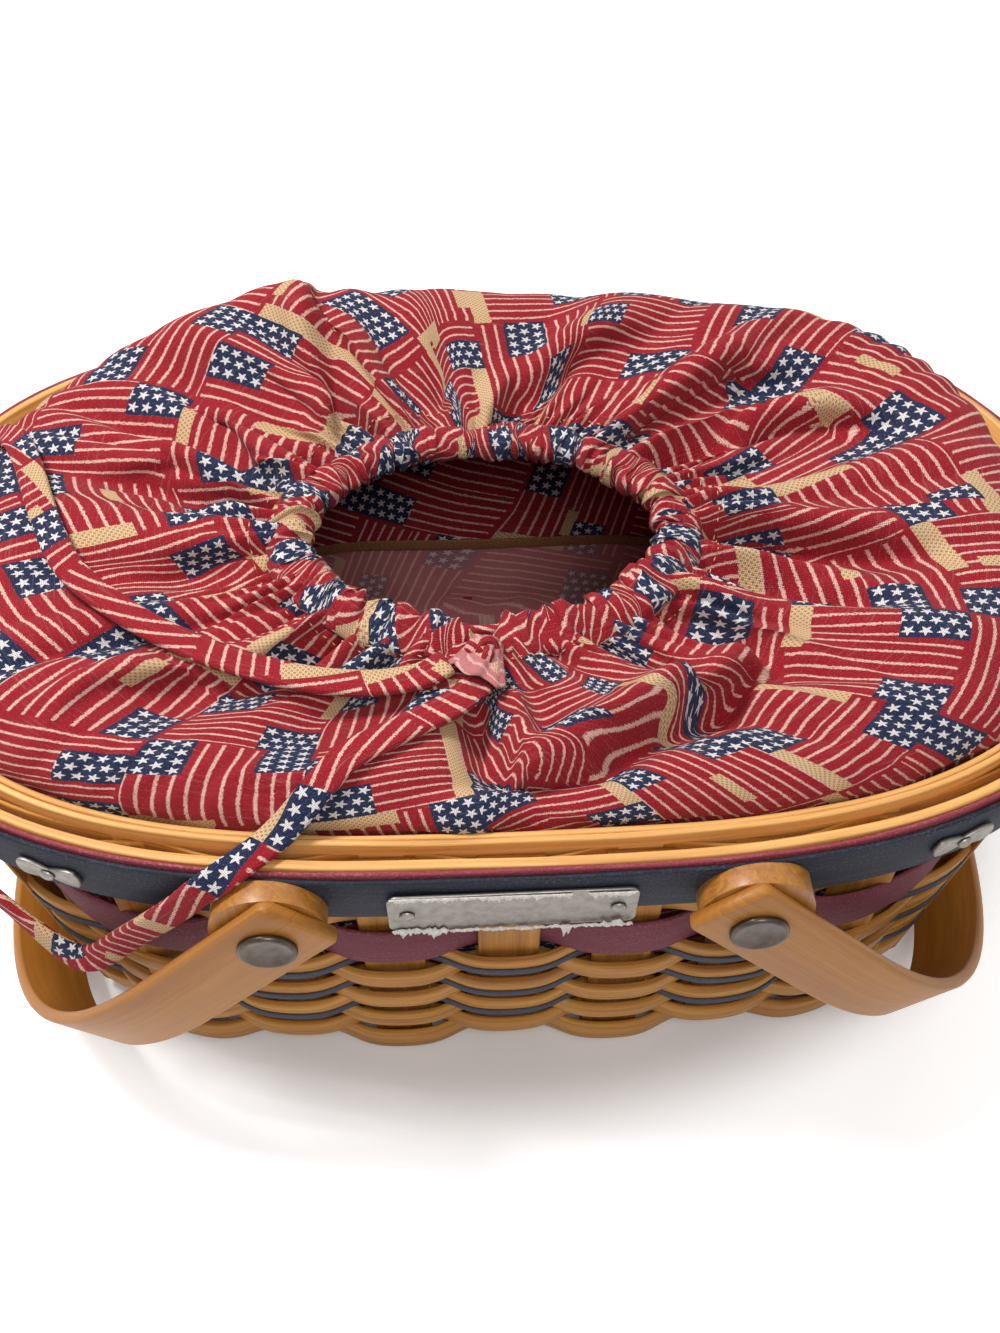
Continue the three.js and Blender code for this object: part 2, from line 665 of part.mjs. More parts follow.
function addNeck() {
  const [d, h, w] = [casingHalfDepth, casingHeight, casingWall];
  const section = [[-d, 0], [d, 0], [d, h], [-d, h], [-d, h - w], [d - w, h - w], [d - w, w], [-d, w]];
  addMesh('neck_casing', skin(neckRing(section), true), 'cloth');
  const round = Array.from({ length: 8 }, (_, i) => {
    const angle = (i / 8) * 2 * Math.PI;
    return [drawstringRadius * Math.cos(angle) - w / 2, drawstringRadius * Math.sin(angle) + h / 2];
  });
  addMesh('drawstring_loop', skin(neckRing(round), true), 'cloth');
}

// A flat tie is swept along its route and keeps its face towards the given directions
function tieGeometry(route) {
  const path = new THREE.CatmullRomCurve3(route.map(([x, y, z]) => new THREE.Vector3(x, y, basketHeight + z)));
  const facing = new THREE.CatmullRomCurve3(route.map((row) => new THREE.Vector3(...row.slice(3))));
  const steps = Math.round(path.getLength() / tieStep);
  const frames = { tangents: [], normals: [], binormals: [] };
  for (let i = 0; i <= steps; i += 1) {
    const tangent = path.getTangentAt(i / steps);
    const face = facing.getPoint(path.getUtoTmapping(i / steps));
    face.addScaledVector(tangent, -face.dot(tangent)).normalize();
    frames.tangents.push(tangent);
    frames.normals.push(new THREE.Vector3().crossVectors(face, tangent).normalize());
    frames.binormals.push(face);
  }
  path.computeFrenetFrames = () => frames;
  const [w, t, c] = [tieWidth / 2, tieThickness / 2, tieThickness / 4];
  const corners = [[w, c - t], [w, t - c], [w - c, t], [c - w, t], [-w, t - c], [-w, c - t], [c - w, -t], [w - c, -t]];
  const section = new THREE.Shape(corners.map(([x, y]) => new THREE.Vector2(x, y)));
  return new THREE.ExtrudeGeometry(section, { steps, bevelEnabled: false, extrudePath: path });
}

function addKnot(name, size, place) {
  const geometry = new THREE.SphereGeometry(0.5, 12, 8);
  geometry.scale(...size);
  const [x, y, aboveRim] = place;
  geometry.translate(x, y, basketHeight + aboveRim);
  addMesh(name, toGeometry(toSolid(geometry)), 'cloth');
}

function addTies() {
  addKnot('drawstring_knot', neckKnotSize, neckKnotPlace);
  addMesh('tie_left', toGeometry(toSolid(tieGeometry(leftTieRoute))), 'cloth');
  addKnot('tie_left_knot', tieKnotSize, leftTieKnotPlace);
  addMesh('tie_front', toGeometry(toSolid(tieGeometry(frontTieRoute))), 'cloth');
  addKnot('tie_front_knot', tieKnotSize, frontTieKnotPlace);
}

addSplints();
addWeavers();
addRimBands();
addEars();
addHandles();
addRivets();
addPlate();
addOrnaments();
addLiner();
addNeck();
addTies();

export default basket;
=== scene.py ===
import math

import bmesh
import bpy
import numpy as np
from mathutils import Matrix, Vector


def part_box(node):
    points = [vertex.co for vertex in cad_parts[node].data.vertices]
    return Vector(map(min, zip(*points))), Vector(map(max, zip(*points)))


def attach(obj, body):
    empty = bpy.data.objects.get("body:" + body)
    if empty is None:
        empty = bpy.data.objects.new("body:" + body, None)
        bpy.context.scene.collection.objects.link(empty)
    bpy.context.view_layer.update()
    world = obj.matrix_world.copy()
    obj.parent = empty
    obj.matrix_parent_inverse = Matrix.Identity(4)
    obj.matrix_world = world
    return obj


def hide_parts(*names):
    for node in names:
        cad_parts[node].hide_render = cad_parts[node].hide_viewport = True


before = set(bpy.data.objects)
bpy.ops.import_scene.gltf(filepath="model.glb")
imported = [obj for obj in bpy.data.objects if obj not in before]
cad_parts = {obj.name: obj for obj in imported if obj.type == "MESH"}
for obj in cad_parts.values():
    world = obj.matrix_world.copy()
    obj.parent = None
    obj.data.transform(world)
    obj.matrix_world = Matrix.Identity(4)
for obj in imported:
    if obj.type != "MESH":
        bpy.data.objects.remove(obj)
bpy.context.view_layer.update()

TURN = 2 * math.pi

# Sizes in metres, as the solids have them. Ovals have a half length, a half width and an exponent
HEIGHT = 0.117
RIM = (0.163, 0.104, 2.85)
FOOT = (0.134, 0.0945, 4.2)
STAKES = 24
CROSS_PITCH = 0.03
LONG_PITCH = 0.029
CROSS_SPLINTS_AT_X = (-0.09, -0.06, -0.03, 0.0, 0.03, 0.06, 0.09)
LONG_SPLINTS_AT_Y = (-0.058, -0.029, 0.0, 0.029, 0.058)
SPLINT_WIDTH = 0.016
SPLINT_THICKNESS = 0.001
STAKE_DEPTH = 0.0083
FLOOR_HEIGHT = 0.0024
NARROW_ROWS = 8
NARROW_FOOT = 0.0036
NARROW_TOP = 0.060
WIDE_TOP = 0.078
TOP_ROW_TOP = 0.113
BAND_HEIGHT = 0.0185
PIVOT_X = 0.056
PIVOT_Z = 0.1025
EAR_FACE_Y = 0.1078
EYE_GAP = 0.0003
HANDLE_REACH = 0.125
HANDLE_WIDTH = 0.022
HANDLE_THICKNESS = 0.0034
HANDLE_LEG_Y = 0.1098
HANDLE_STRAIGHT = 0.032
HANDLE_ROUNDNESS = 2.5
HANDLE_BEYOND = 0.0128
HANDLE_ANGLE = math.radians(47)
NECK = (0.050, 0.036)
NECK_CENTRE = (-0.003, -0.006)
NECK_HEIGHT = HEIGHT + 0.0122
LINER_DEPTH = 0.0134
GIRTH = 0.80
SEAM_HEIGHT = 0.038
TIE_WIDTH = 0.0075
TIE_THICKNESS = 0.0024


# Camera
def add_camera():
    place = Vector((-0.0108, -0.25958, 0.37608))
    pitch, yaw, roll = (math.radians(angle) for angle in (50.021, 2.745, -0.321))
    forward = Vector((math.sin(yaw) * math.cos(pitch), math.cos(yaw) * math.cos(pitch), -math.sin(pitch)))
    right = Vector((math.cos(yaw), -math.sin(yaw), 0))
    down = forward.cross(right)
    turned_right = right * math.cos(roll) + down * math.sin(roll)
    up = right * math.sin(roll) - down * math.cos(roll)
    data = bpy.data.cameras.new("camera")
    data.sensor_fit = "VERTICAL"
    data.sensor_height = 36
    data.lens = 36.21
    data.clip_start = 0.01
    camera = bpy.data.objects.new("camera", data)
    axes = Matrix((turned_right, up, -forward)).transposed()
    camera.matrix_world = Matrix.Translation(place) @ axes.to_4x4()
    bpy.context.collection.objects.link(camera)
    bpy.context.scene.camera = camera


add_camera()


# Shader maths
def operation(kind):
    """A method that feeds a value, and any others, into one kind of maths node."""
    def method(self, *others):
        return self.math(kind, *others)
    return method


class Value:
    """A number socket that can be used in sums."""

    def __init__(self, shader, socket):
        self.shader = shader
        self.socket = socket

    def math(self, kind, *others):
        return self.shader.node("ShaderNodeMath", {"operation": kind}, [self, *others])

    def __rsub__(self, other):
        return self.shader.node("ShaderNodeMath", {"operation": "SUBTRACT"}, [other, self])

    __add__ = __radd__ = operation("ADD")
    __sub__ = operation("SUBTRACT")
    __mul__ = __rmul__ = operation("MULTIPLY")
    __truediv__ = operation("DIVIDE")
    __gt__ = operation("GREATER_THAN")
    __lt__ = operation("LESS_THAN")
    floor = operation("FLOOR")
    fract = operation("FRACT")
    abs = operation("ABSOLUTE")
    sin = operation("SINE")
    sqrt = operation("SQRT")
    power = operation("POWER")
    angle_from = operation("ARCTAN2")
    least = operation("MINIMUM")

    def step(self, low, high):
        inputs = {"Value": self, "From Min": low, "From Max": high}
        return self.shader.node("ShaderNodeMapRange", {"interpolation_type": "SMOOTHSTEP"}, inputs)


class Shader:
    """The nodes of a material or a world, and the one method that makes them."""

    def __init__(self, name, world=False):
        self.owner = (bpy.data.worlds if world else bpy.data.materials).new(name)
        self.owner.use_nodes = True
        self.tree = self.owner.node_tree
        self.surface = self.tree.nodes["Background" if world else "Principled BSDF"]

    def node(self, kind, settings=None, inputs=(), output=0):
        made = self.tree.nodes.new(kind)
        for key, value in (settings or {}).items():
            setattr(made, key, value)
        pairs = inputs.items() if isinstance(inputs, dict) else enumerate(inputs)
        for key, value in pairs:
            self.feed(made.inputs[key], value)
        return Value(self, made.outputs[output])

    def feed(self, socket, value):
        if isinstance(value, Value):
            self.tree.links.new(value.socket, socket)
        elif hasattr(value, "__len__") and socket.type == "RGBA":
            socket.default_value = (*value, 1)
        else:
            socket.default_value = value

    def coordinates(self, kind="UV"):
        if kind == "UV":
            return self.node("ShaderNodeUVMap", {"uv_map": "surface"})
        return self.node("ShaderNodeTexCoord", output=kind)

    def split(self, vector):
        outputs = self.node("ShaderNodeSeparateXYZ", None, [vector]).socket.node.outputs
        return [Value(self, outputs[i]) for i in range(3)]

    def noise(self, vector, scale, detail=2.0, roughness=0.5, distortion=0.0):
        """Noise at one scale, or with a scale for each direction."""
        if hasattr(scale, "__len__"):
            vector = self.node("ShaderNodeVectorMath", {"operation": "MULTIPLY"}, [vector, scale])
            scale = 1.0
        inputs = {"Vector": vector, "Scale": scale, "Detail": detail, "Roughness": roughness,
                  "Distortion": distortion}
        return self.node("ShaderNodeTexNoise", None, inputs)

    def mix(self, factor, a, b):
        return self.node("ShaderNodeMix", {"data_type": "RGBA"}, {0: factor, 6: a, 7: b}, 2)

    def ramp(self, factor, stops):
        made = self.node("ShaderNodeValToRGB", None, [factor])
        elements = made.socket.node.color_ramp.elements
        while len(elements) < len(stops):
            elements.new(0.5)
        for element, (position, colour) in zip(elements, stops):
            element.position = position
            element.color = (*colour, 1)
        return made

    def bump(self, height, distance, strength):
        inputs = {"Height": height, "Distance": distance, "Strength": strength}
        return self.node("ShaderNodeBump", None, inputs)

    def seen(self):
        """1 where the camera looks, also in a reflection; 0 for the rays that carry light."""
        rays = self.node("ShaderNodeLightPath").socket.node.outputs
        camera, glossy, through = (Value(self, rays[f"Is {kind} Ray"])
                                   for kind in ("Camera", "Glossy", "Transmission"))
        return (camera + glossy + through).least(1.0)

    def finish(self, **sockets):
        for name, value in sockets.items():
            self.feed(self.surface.inputs[name.replace("_", " ")], value)
        return self.owner


def rgb(red, green, blue):
    """A colour of 0 to 255 as the render works with it."""
    def linear(v):
        v /= 255
        return v / 12.92 if v <= 0.04045 else ((v + 0.055) / 1.055) ** 2.4
    return (linear(red), linear(green), linear(blue))


def wood(name, light, middle, dark, roughness=0.5, grain=1.0, coat=0.0):
    """Split wood whose grain runs along the first coordinate of the strip."""
    s = Shader(name)
    uv = s.coordinates()
    wander = s.noise(uv, (14, 60, 1), 2)
    fibre = s.noise(uv, (55, 2600, 1), 4, 0.65, 0.4)
    growth = s.noise(uv, (10, 420, 1), 3, 0.55, 1.2)
    pores = s.noise(uv, (260, 3200, 1), 2, 0.6)
    patch = s.noise(uv, (22, 90, 1), 3)
    tone = growth * 0.55 + fibre * 0.3 + wander * 0.25 - 0.05
    colour = s.ramp(tone, [(0.32, dark), (0.5, middle), (0.68, light)])
    colour = s.mix(pores.step(0.64, 0.74) * (0.5 * grain), colour, [0.55 * c for c in dark])
    colour = s.mix(patch.step(0.55, 0.8) * 0.35, colour, [min(1, 1.12 * c) for c in light])
    normal = s.bump(fibre * 0.6 + pores * 0.5 + growth * 0.4, 0.00025 * grain, 0.55)
    return s.finish(Base_Color=colour, Roughness=tone * 0.15 + (roughness - 0.08), Normal=normal,
                    Coat_Weight=coat, Coat_Roughness=0.25, Specular_IOR_Level=0.35)


def block_wood(name, light, middle, dark):
    """Wood for small cut blocks, with the grain upright."""
    s = Shader(name)
    place = s.coordinates("Object")
    fibre = s.noise(place, (2200, 2200, 70), 4, 0.65, 0.3)
    growth = s.noise(place, (380, 380, 14), 3, 0.5, 1.0)
    tone = growth * 0.6 + fibre * 0.4
    colour = s.ramp(tone, [(0.35, dark), (0.5, middle), (0.65, light)])
    return s.finish(Base_Color=colour, Roughness=tone * 0.2 + 0.36, Normal=s.bump(fibre, 0.0001, 0.4),
                    Coat_Weight=0.2, Coat_Roughness=0.25)


def dyed(name, main, rub, amount):
    """Dyed splint: the colour has worn off the raised fibres."""
    s = Shader(name)
    uv = s.coordinates()
    fibre = s.noise(uv, (70, 2400, 1), 4, 0.7, 0.4)
    speck = s.noise(uv, 1300.0, 3, 0.75)
    patch = s.noise(uv, (25, 120, 1), 3)
    raised = speck.step(0.48, 0.66) * 0.6 + fibre.step(0.46, 0.75) * 0.4
    colour = s.mix(raised * (patch.step(0.25, 0.75) * amount + 0.15), main, rub)
    colour = s.mix(patch.step(0.5, 0.8) * 0.3, colour, [0.7 * c for c in main])
    normal = s.bump(fibre * 0.6 + speck * 0.5, 0.00022, 0.6)
    return s.finish(Base_Color=colour, Roughness=speck * 0.2 + 0.58, Normal=normal, Specular_IOR_Level=0.25)


def metal(name, colour, tarnish, roughness, along, scratch):
    s = Shader(name)
    place = s.coordinates("Object")
    brush_marks = s.noise(place, along, 3, 0.6)
    cloud = s.noise(place, 420.0, 3, 0.6)
    fine = s.noise(place, 3200.0, 2, 0.6)
    return s.finish(Base_Color=s.mix(cloud.step(0.35, 0.75) * 0.6, colour, tarnish), Metallic=1.0,
                    Roughness=brush_marks * 0.2 + cloud * 0.15 + (roughness - 0.15),
                    Normal=s.bump(brush_marks * 0.7 + fine * 0.3, 0.00006, scratch))


def mottled(name, kind, noise, dark, light, roughness, gain, relief, strength):
    """Two shades of one fine noise, for film, thread and tape."""
    s = Shader(name)
    spots = s.noise(s.coordinates(kind), *noise)
    return s.finish(Base_Color=s.mix(spots.step(0.35, 0.7), dark, light), Roughness=spots * gain + roughness,
                    Normal=s.bump(spots, relief, strength))


def patchwork(name, fade=0.0):
    """Printed cotton, in millimetres: striped blocks with starred corners, laid crosswise like parquet."""
    length, width = 40.0, 20.0
    lean_cos, lean_sin = 0.945, 0.327
    line_pitch = 3.6
    corner_length, corner_width = 15.6, 12.0
    star_x, star_y = 3.9, 3.75
    red, cream = rgb(158, 24, 38), rgb(238, 194, 176)
    navy, white = rgb(22, 42, 74), rgb(232, 226, 224)
    tan, brown = rgb(224, 190, 146), rgb(156, 104, 62)
    s = Shader(name)
    uv = s.coordinates()
    u, v, _ = s.split(uv)
    drawn_u = u * 1000 + s.noise(uv, 13.0, 0) * 9
    drawn_v = v * 1000 + s.noise(uv, (15, -15, 15), 0) * 9
    x = drawn_u * lean_cos + drawn_v * lean_sin
    y = drawn_v * lean_cos - drawn_u * lean_sin
    # every second square of two blocks is turned, and a throw of dice turns single blocks end for end
    cell_x, cell_y = (x / length).floor(), (y / length).floor()
    odd = ((cell_x + cell_y) * 0.5).fract() > 0.25
    in_x, in_y = (x / length).fract() * length, (y / length).fract() * length
    block_x = in_x + (in_y - in_x) * odd
    block_y = in_y + (in_x - in_y) * odd
    row = (block_y / width).floor()
    block_y = block_y - row * width
    key = s.node("ShaderNodeCombineXYZ", None, [cell_x, cell_y, row + odd * 3])
    dice = s.node("ShaderNodeTexWhiteNoise", {"noise_dimensions": "3D"}, [key], 1)
    first, second, third = s.split(dice)
    block_x = block_x + (length - 2 * block_x) * (first > 0.5)
    block_y = block_y + (width - 2 * block_y) * (second > 0.5)
    thread = s.noise(uv, 2600.0, 2, 0.6)
    ragged = s.noise(uv, 1500.0, 2, 0.6) - 0.5
    gaps = s.noise(uv, 1250.0, 1, 0.5)
    # thin broken cream lines on red
    line = ((block_y / line_pitch + 0.5).fract() - 0.5).abs()
    stripe = 1 - (line + ragged * 0.17 + gaps.step(0.45, 0.72) * 0.07).step(0.09, 0.165)
    torn_x = block_x + ragged * 1.2
    stripe = stripe * torn_x.step(0.9, 1.3) * (1 - torn_x.step(length - 1.6, length - 1.2))
    stripe = stripe * (gaps.step(0.25, 0.45) * 0.7 + 0.3)
    colour = s.mix(stripe * 0.93, red, cream)
    # the starred corner
    corner = ((block_x + ragged * 0.6) < corner_length) * ((block_y + ragged * 0.6) < corner_width)
    column, rank = (block_x - 0.2) / star_x, (block_y - 0.35) / star_y
    column = column + (rank.floor() * 0.5).fract()
    from_x, from_y = (column.fract() - 0.5) * star_x, (rank.fract() - 0.5) * star_y
    angle = from_y.angle_from(from_x) + first * 3
    point = ((angle * (5 / TURN)).fract() - 0.5).abs() * 2
    limit = point.power(1.6) * 1.05 + 0.68
    reach = (from_x * from_x + from_y * from_y).sqrt()
    star = 1 - (reach + ragged * 0.35).step(limit * 0.9, limit * 1.02)
    colour = s.mix(corner, colour, s.mix(star, navy, white))
    # dotted tan strips at the ends of some blocks, and short ones along their sides
    dots = ((x * 4.4).sin() * (y * 4.4).sin()).step(0.1, 0.6)
    ground = s.mix(dots * 0.75, tan, brown)
    end_strip = (block_x + ragged) > length - 4.8 + 9 * (third < 0.6)
    side_strip = (second > 0.72) * ((block_y + ragged) > width - 3.6) * (block_x > 20) * (block_x < 32)
    colour = s.mix(end_strip, colour, ground)
    colour = s.mix(side_strip, colour, ground)
    # plain weave: threads show as small light and dark cells
    threads = TURN / 0.00088
    cloth = ((u + v) * threads).sin() * ((u - v) * threads).sin()
    slub = s.noise(uv, (60, 1500, 1), 2)
    colour = s.mix(cloth.step(-0.2, 1.0) * 0.55, colour, [0.03, 0.004, 0.008])
    colour = s.mix(thread.step(0.52, 0.8) * 0.2, colour, rgb(236, 190, 180))
    colour = s.mix(slub.step(0.55, 0.8) * 0.08, colour, rgb(250, 225, 215))
    # paler cloth: the real fade of the reverse side, and inside the bag also painted light
    if fade:
        colour = s.mix(fade, colour, rgb(218, 158, 156))
    normal = s.bump(cloth * 0.5 + thread * 0.7 + slub * 0.4, 0.00025, 0.6)
    return s.finish(Base_Color=colour, Roughness=0.92, Normal=normal, Sheen_Weight=0.04, Sheen_Roughness=0.5,
                    Specular_IOR_Level=0.2)


natural = wood("weaver_wood", rgb(204, 150, 74), rgb(178, 121, 50), rgb(140, 86, 32), 0.52, 1.3)
pale = wood("rim_wood", rgb(238, 190, 122), rgb(222, 166, 96), rgb(190, 128, 66))
stake_wood = wood("splint_wood", rgb(194, 140, 66), rgb(168, 112, 46), rgb(128, 78, 28), 0.55, 1.3)
varnished = wood("handle_wood", rgb(176, 118, 44), rgb(164, 105, 36), rgb(148, 90, 28), 0.5, 0.6, 0.05)
ear_wood = block_wood("ear_wood", rgb(180, 121, 46), rgb(162, 104, 36), rgb(138, 82, 27))
navy_dye = dyed("navy_splint", rgb(22, 25, 37), rgb(88, 88, 102), 1.0)
accent_dye = dyed("accent_splint", rgb(58, 60, 72), rgb(120, 112, 112), 0.6)
burgundy_dye = dyed("burgundy_splint", rgb(98, 38, 52), rgb(176, 116, 118), 0.6)
worn_burgundy = dyed("worn_burgundy_splint", rgb(138, 52, 66), rgb(204, 140, 138), 0.9)
pewter = metal("rivet_metal", rgb(84, 74, 66), rgb(44, 39, 35), 0.30, (900, 900, 900), 0.15)
brushed = metal("bright_metal", rgb(140, 135, 128), rgb(106, 101, 95), 0.40, (60, 4000, 4000), 0.35)
film = mottled("plate_film", "Object", (900.0, 4, 0.65), rgb(196, 190, 182), rgb(228, 223, 216),
               0.3, 0.2, 0.0002, 0.7)
thread = mottled("seam_thread", "Object", (2600.0, 2, 0.6), rgb(196, 158, 112), rgb(228, 198, 156),
                 0.8, 0.0, 0.0001, 0.5)
tape = mottled("seam_tape", "UV", ((1500, 3200, 1), 2, 0.6), rgb(112, 66, 40), rgb(176, 124, 80),
               0.9, 0.0, 0.0002, 0.6)
print_cloth = patchwork("liner_print")
# the inside of the bag: faded cloth, made paler still as painted light for the dim inside
faded_and_painted_light_cloth = patchwork("liner_inside", 0.5)
reverse_cloth = patchwork("casing_reverse", 0.5)


# Mesh tools
def circle(count):
    return np.linspace(0, TURN, count, endpoint=False)


def unit(vectors):
    vectors = np.asarray(vectors, float)
    return vectors / np.maximum(np.linalg.norm(vectors, axis=-1, keepdims=True), 1e-12)


def square_to(directions, tangents):
    """Directions without their part along the tangents."""
    return unit(directions - tangents * np.sum(directions * tangents, axis=1, keepdims=True))


def run_length(points):
    """The length along a line up to each of its points."""
    return np.concatenate([[0], np.cumsum(np.linalg.norm(np.diff(points, axis=0), axis=1))])


def read_off(where, at, rows):
    """Rows of numbers between those that stand at known places."""
    return np.stack([np.interp(where, at, column) for column in rows.T], -1)


def smooth(x, low, high):
    t = np.clip((x - low) / (high - low), 0, 1)
    return t * t * (3 - 2 * t)


def bell(x, centre, width):
    return np.exp(-((x - centre) / width) ** 2)


def new_object(name, points, faces, uvs, material):
    """uvs has one pair for every corner of every face, in metres along and across the surface."""
    mesh = bpy.data.meshes.new(name)
    mesh.from_pydata([tuple(p) for p in points], [], faces)
    layer = mesh.uv_layers.new(name="surface")
    layer.data.foreach_set("uv", np.asarray(uvs, float).ravel())
    mesh.polygons.foreach_set("use_smooth", [True] * len(mesh.polygons))
    mesh.materials.append(material)
    mesh.update()
    made = bpy.data.objects.new(name, mesh)
    bpy.context.collection.objects.link(made)
    return made


def lattice(name, grid, uv, material, wrap_rows=False, wrap_columns=True, cap=False, flip=False):
    """A skin over a grid of points: rows by columns. uv is rows+1 by columns+1 by 2 where it wraps."""
    rows, columns = grid.shape[:2]
    row_count = rows if wrap_rows else rows - 1
    column_count = columns if wrap_columns else columns - 1
    i, j = np.divmod(np.arange(row_count * column_count), column_count)
    i2, j2 = (i + 1) % rows, (j + 1) % columns
    faces = np.stack([i * columns + j, i * columns + j2, i2 * columns + j2, i2 * columns + j], 1)
    corners = np.stack([uv[i, j], uv[i, j + 1], uv[i + 1, j + 1], uv[i + 1, j]], 1)
    if flip:
        faces, corners = faces[:, ::-1], corners[:, ::-1]
    faces, corners = faces.tolist(), corners.reshape(-1, 2)
    if cap:
        for row, forward in ((0, flip), (rows - 1, not flip)):
            ring = np.arange(columns)[::1 if forward else -1]
            faces.append((row * columns + ring).tolist())
            corners = np.vstack([corners, uv[row, ring]])
    return new_object(name, grid.reshape(-1, 3), faces, corners, material)


def section(half_width, half_thickness, round_off):
    """Corners of a strip's section, anticlockwise, as (across, outward)."""
    w, t, r = half_width, half_thickness, round_off
    k = 0.3 * r
    return np.array([
        (w, -t + r), (w, t - r), (w - k, t - k), (w - r, t), (-w + r, t), (-w + k, t - k),
        (-w, t - r), (-w, -t + r), (-w + k, -t + k), (-w + r, -t), (w - r, -t), (w - k, -t + k),
    ])


def strip(name, points, across, outward, shape, material, closed=False, seed=0.0, taper=None):
    """Sweeps a section along points; its flat side looks outward."""
    points, across, outward = np.asarray(points), np.asarray(across), np.asarray(outward)
    sizes = np.ones(len(points)) if taper is None else taper
    grid = points[:, None] + sizes[:, None, None] * (
        shape[None, :, :1] * across[:, None] + shape[None, :, 1:] * outward[:, None])
    along = run_length(np.vstack([points, points[:1] if closed else points[-1:]])) + seed
    girth = run_length(np.vstack([shape, shape[:1]])) + seed * 0.37
    uv = np.stack(np.meshgrid(along, girth, indexing="ij"), -1)
    return lattice(name, grid, uv, material, wrap_rows=closed, cap=not closed)


def merged_copy(node, material, bevel=0.0, segments=2):
    """A welded copy of a solid, with its edges rounded off."""
    mesh = bpy.data.objects[node].data.copy()
    work = bmesh.new()
    work.from_mesh(mesh)
    bmesh.ops.remove_doubles(work, verts=work.verts, dist=1e-6)
    bmesh.ops.dissolve_limit(work, angle_limit=0.01, verts=work.verts, edges=work.edges)
    if bevel:
        sharp = [e for e in work.edges if len(e.link_faces) == 2 and e.calc_face_angle() > 0.5]
        bmesh.ops.bevel(work, geom=sharp, offset=bevel, segments=segments, profile=0.5, affect="EDGES",
                        clamp_overlap=True)
    work.to_mesh(mesh)
    work.free()
    mesh.materials.clear()
    mesh.materials.append(material)
    for polygon in mesh.polygons:
        polygon.use_smooth = True
        polygon.material_index = 0
    mesh.set_sharp_from_angle(angle=0.6)
    made = bpy.data.objects.new(f"{node}_look", mesh)
    bpy.context.collection.objects.link(made)
    return made


def stands_for(piece, slot, *nodes, body="basket"):
    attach(piece, body)
    if nodes:
        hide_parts(*nodes)
    return piece


# The basket's outline
def superellipse(oval, angle):
    a, b, n = oval
    c, s = np.cos(angle), np.sin(angle)
    return np.stack([a * np.sign(c) * abs(c) ** (2 / n), b * np.sign(s) * abs(s) ** (2 / n)], -1)


def quarter(oval):
    """Matching places on a quarter of an oval: end, corner, side; with the count of stakes passed."""
    a, b, n = oval
    half = SPLINT_WIDTH / 2
    ys = np.linspace(0, LONG_SPLINTS_AT_Y[-1] + half, 23)
    xs = np.linspace(CROSS_SPLINTS_AT_X[-1] + half, 0, 35)
    end = np.arcsin((ys / b) ** (n / 2))
    side = np.arccos((xs / a) ** (n / 2))
    corner = np.linspace(end[-1], side[0], 18)[1:-1]
    angles = np.concatenate([end, corner, side])
    past_corner = np.linspace(2 + half / LONG_PITCH, 3 - half / CROSS_PITCH, 18)[1:-1]
    passed = [ys / LONG_PITCH, past_corner, 3 + (CROSS_SPLINTS_AT_X[-1] - xs) / CROSS_PITCH]
    return superellipse(oval, angles), np.concatenate(passed)


def full_turn(oval):
    points, passed = quarter(oval)
    half = STAKES // 2
    turned = [points[:-1], (points[1:] * (-1, 1))[::-1], points[:-1] * (-1, -1), (points[1:] * (1, -1))[::-1]]
    counts = [passed[:-1], (half - passed[1:])[::-1], half + passed[:-1], (STAKES - passed[1:])[::-1]]
    return np.concatenate(turned), np.concatenate(counts)


def wall_line(z, depth, stakes):
    """Points on the wall at a height and depth, at places given in stakes passed."""
    (foot, counts), (rim, _) = (full_turn((a - depth, b - depth, n)) for a, b, n in (FOOT, RIM))
    line = foot + (rim - foot) * (z / HEIGHT)
    return read_off(np.asarray(stakes) % STAKES, np.append(counts, STAKES), np.vstack([line, line[:1]]))


def wall_frame(z, stakes, depth):
    """Points, outward directions and directions up the wall."""
    stakes = np.asarray(stakes, float)
    z = np.broadcast_to(np.asarray(z, float), stakes.shape)
    level = float(np.mean(z))
    beside = 0.08
    ahead = wall_line(level, depth, stakes + beside)
    behind = wall_line(level, depth, stakes - beside)
    foot = wall_line(0.0, depth, stakes)
    top = wall_line(HEIGHT, depth, stakes)
    points = np.column_stack([foot + (top - foot) * (z / HEIGHT)[:, None], z])
    rise = unit(np.column_stack([top - foot, np.full(len(stakes), HEIGHT)]))
    along = unit(np.column_stack([ahead - behind, np.zeros(len(stakes))]))
    return points, unit(np.cross(along, rise)), rise


# Weave
POINTS_PER_STAKE = 14
AROUND = np.arange(STAKES * POINTS_PER_STAKE) / POINTS_PER_STAKE
NARROW_SWING = 0.0031
LOWEST_ROW_EXTRA = 0.0024
ACCENT_ROWS = (3, 5, 7)
ROW_GAP = 0.0004


def woven_row(name, middle, height, thickness, parity, swing, material, seed, out=0.0, level=0.0):
    """A row that passes outside one stake and inside the next; parity says which."""
    sharpness = 1.25
    points, outward, rise = wall_frame(middle, AROUND, STAKE_DEPTH)
    wave = np.tanh(sharpness * np.cos(math.pi * (AROUND - parity))) / math.tanh(sharpness)
    lift = level * np.sin(AROUND * math.pi / 6 + seed) + 0.0003 * np.sin(AROUND * 2.1 + seed * 3)
    points = points + outward * (swing * wave + out)[:, None] + rise * lift[:, None]
    shape = section(height / 2, thickness / 2, min(0.0006, thickness * 0.42))
    return strip(name, points, rise, outward, shape, material, closed=True, seed=seed)


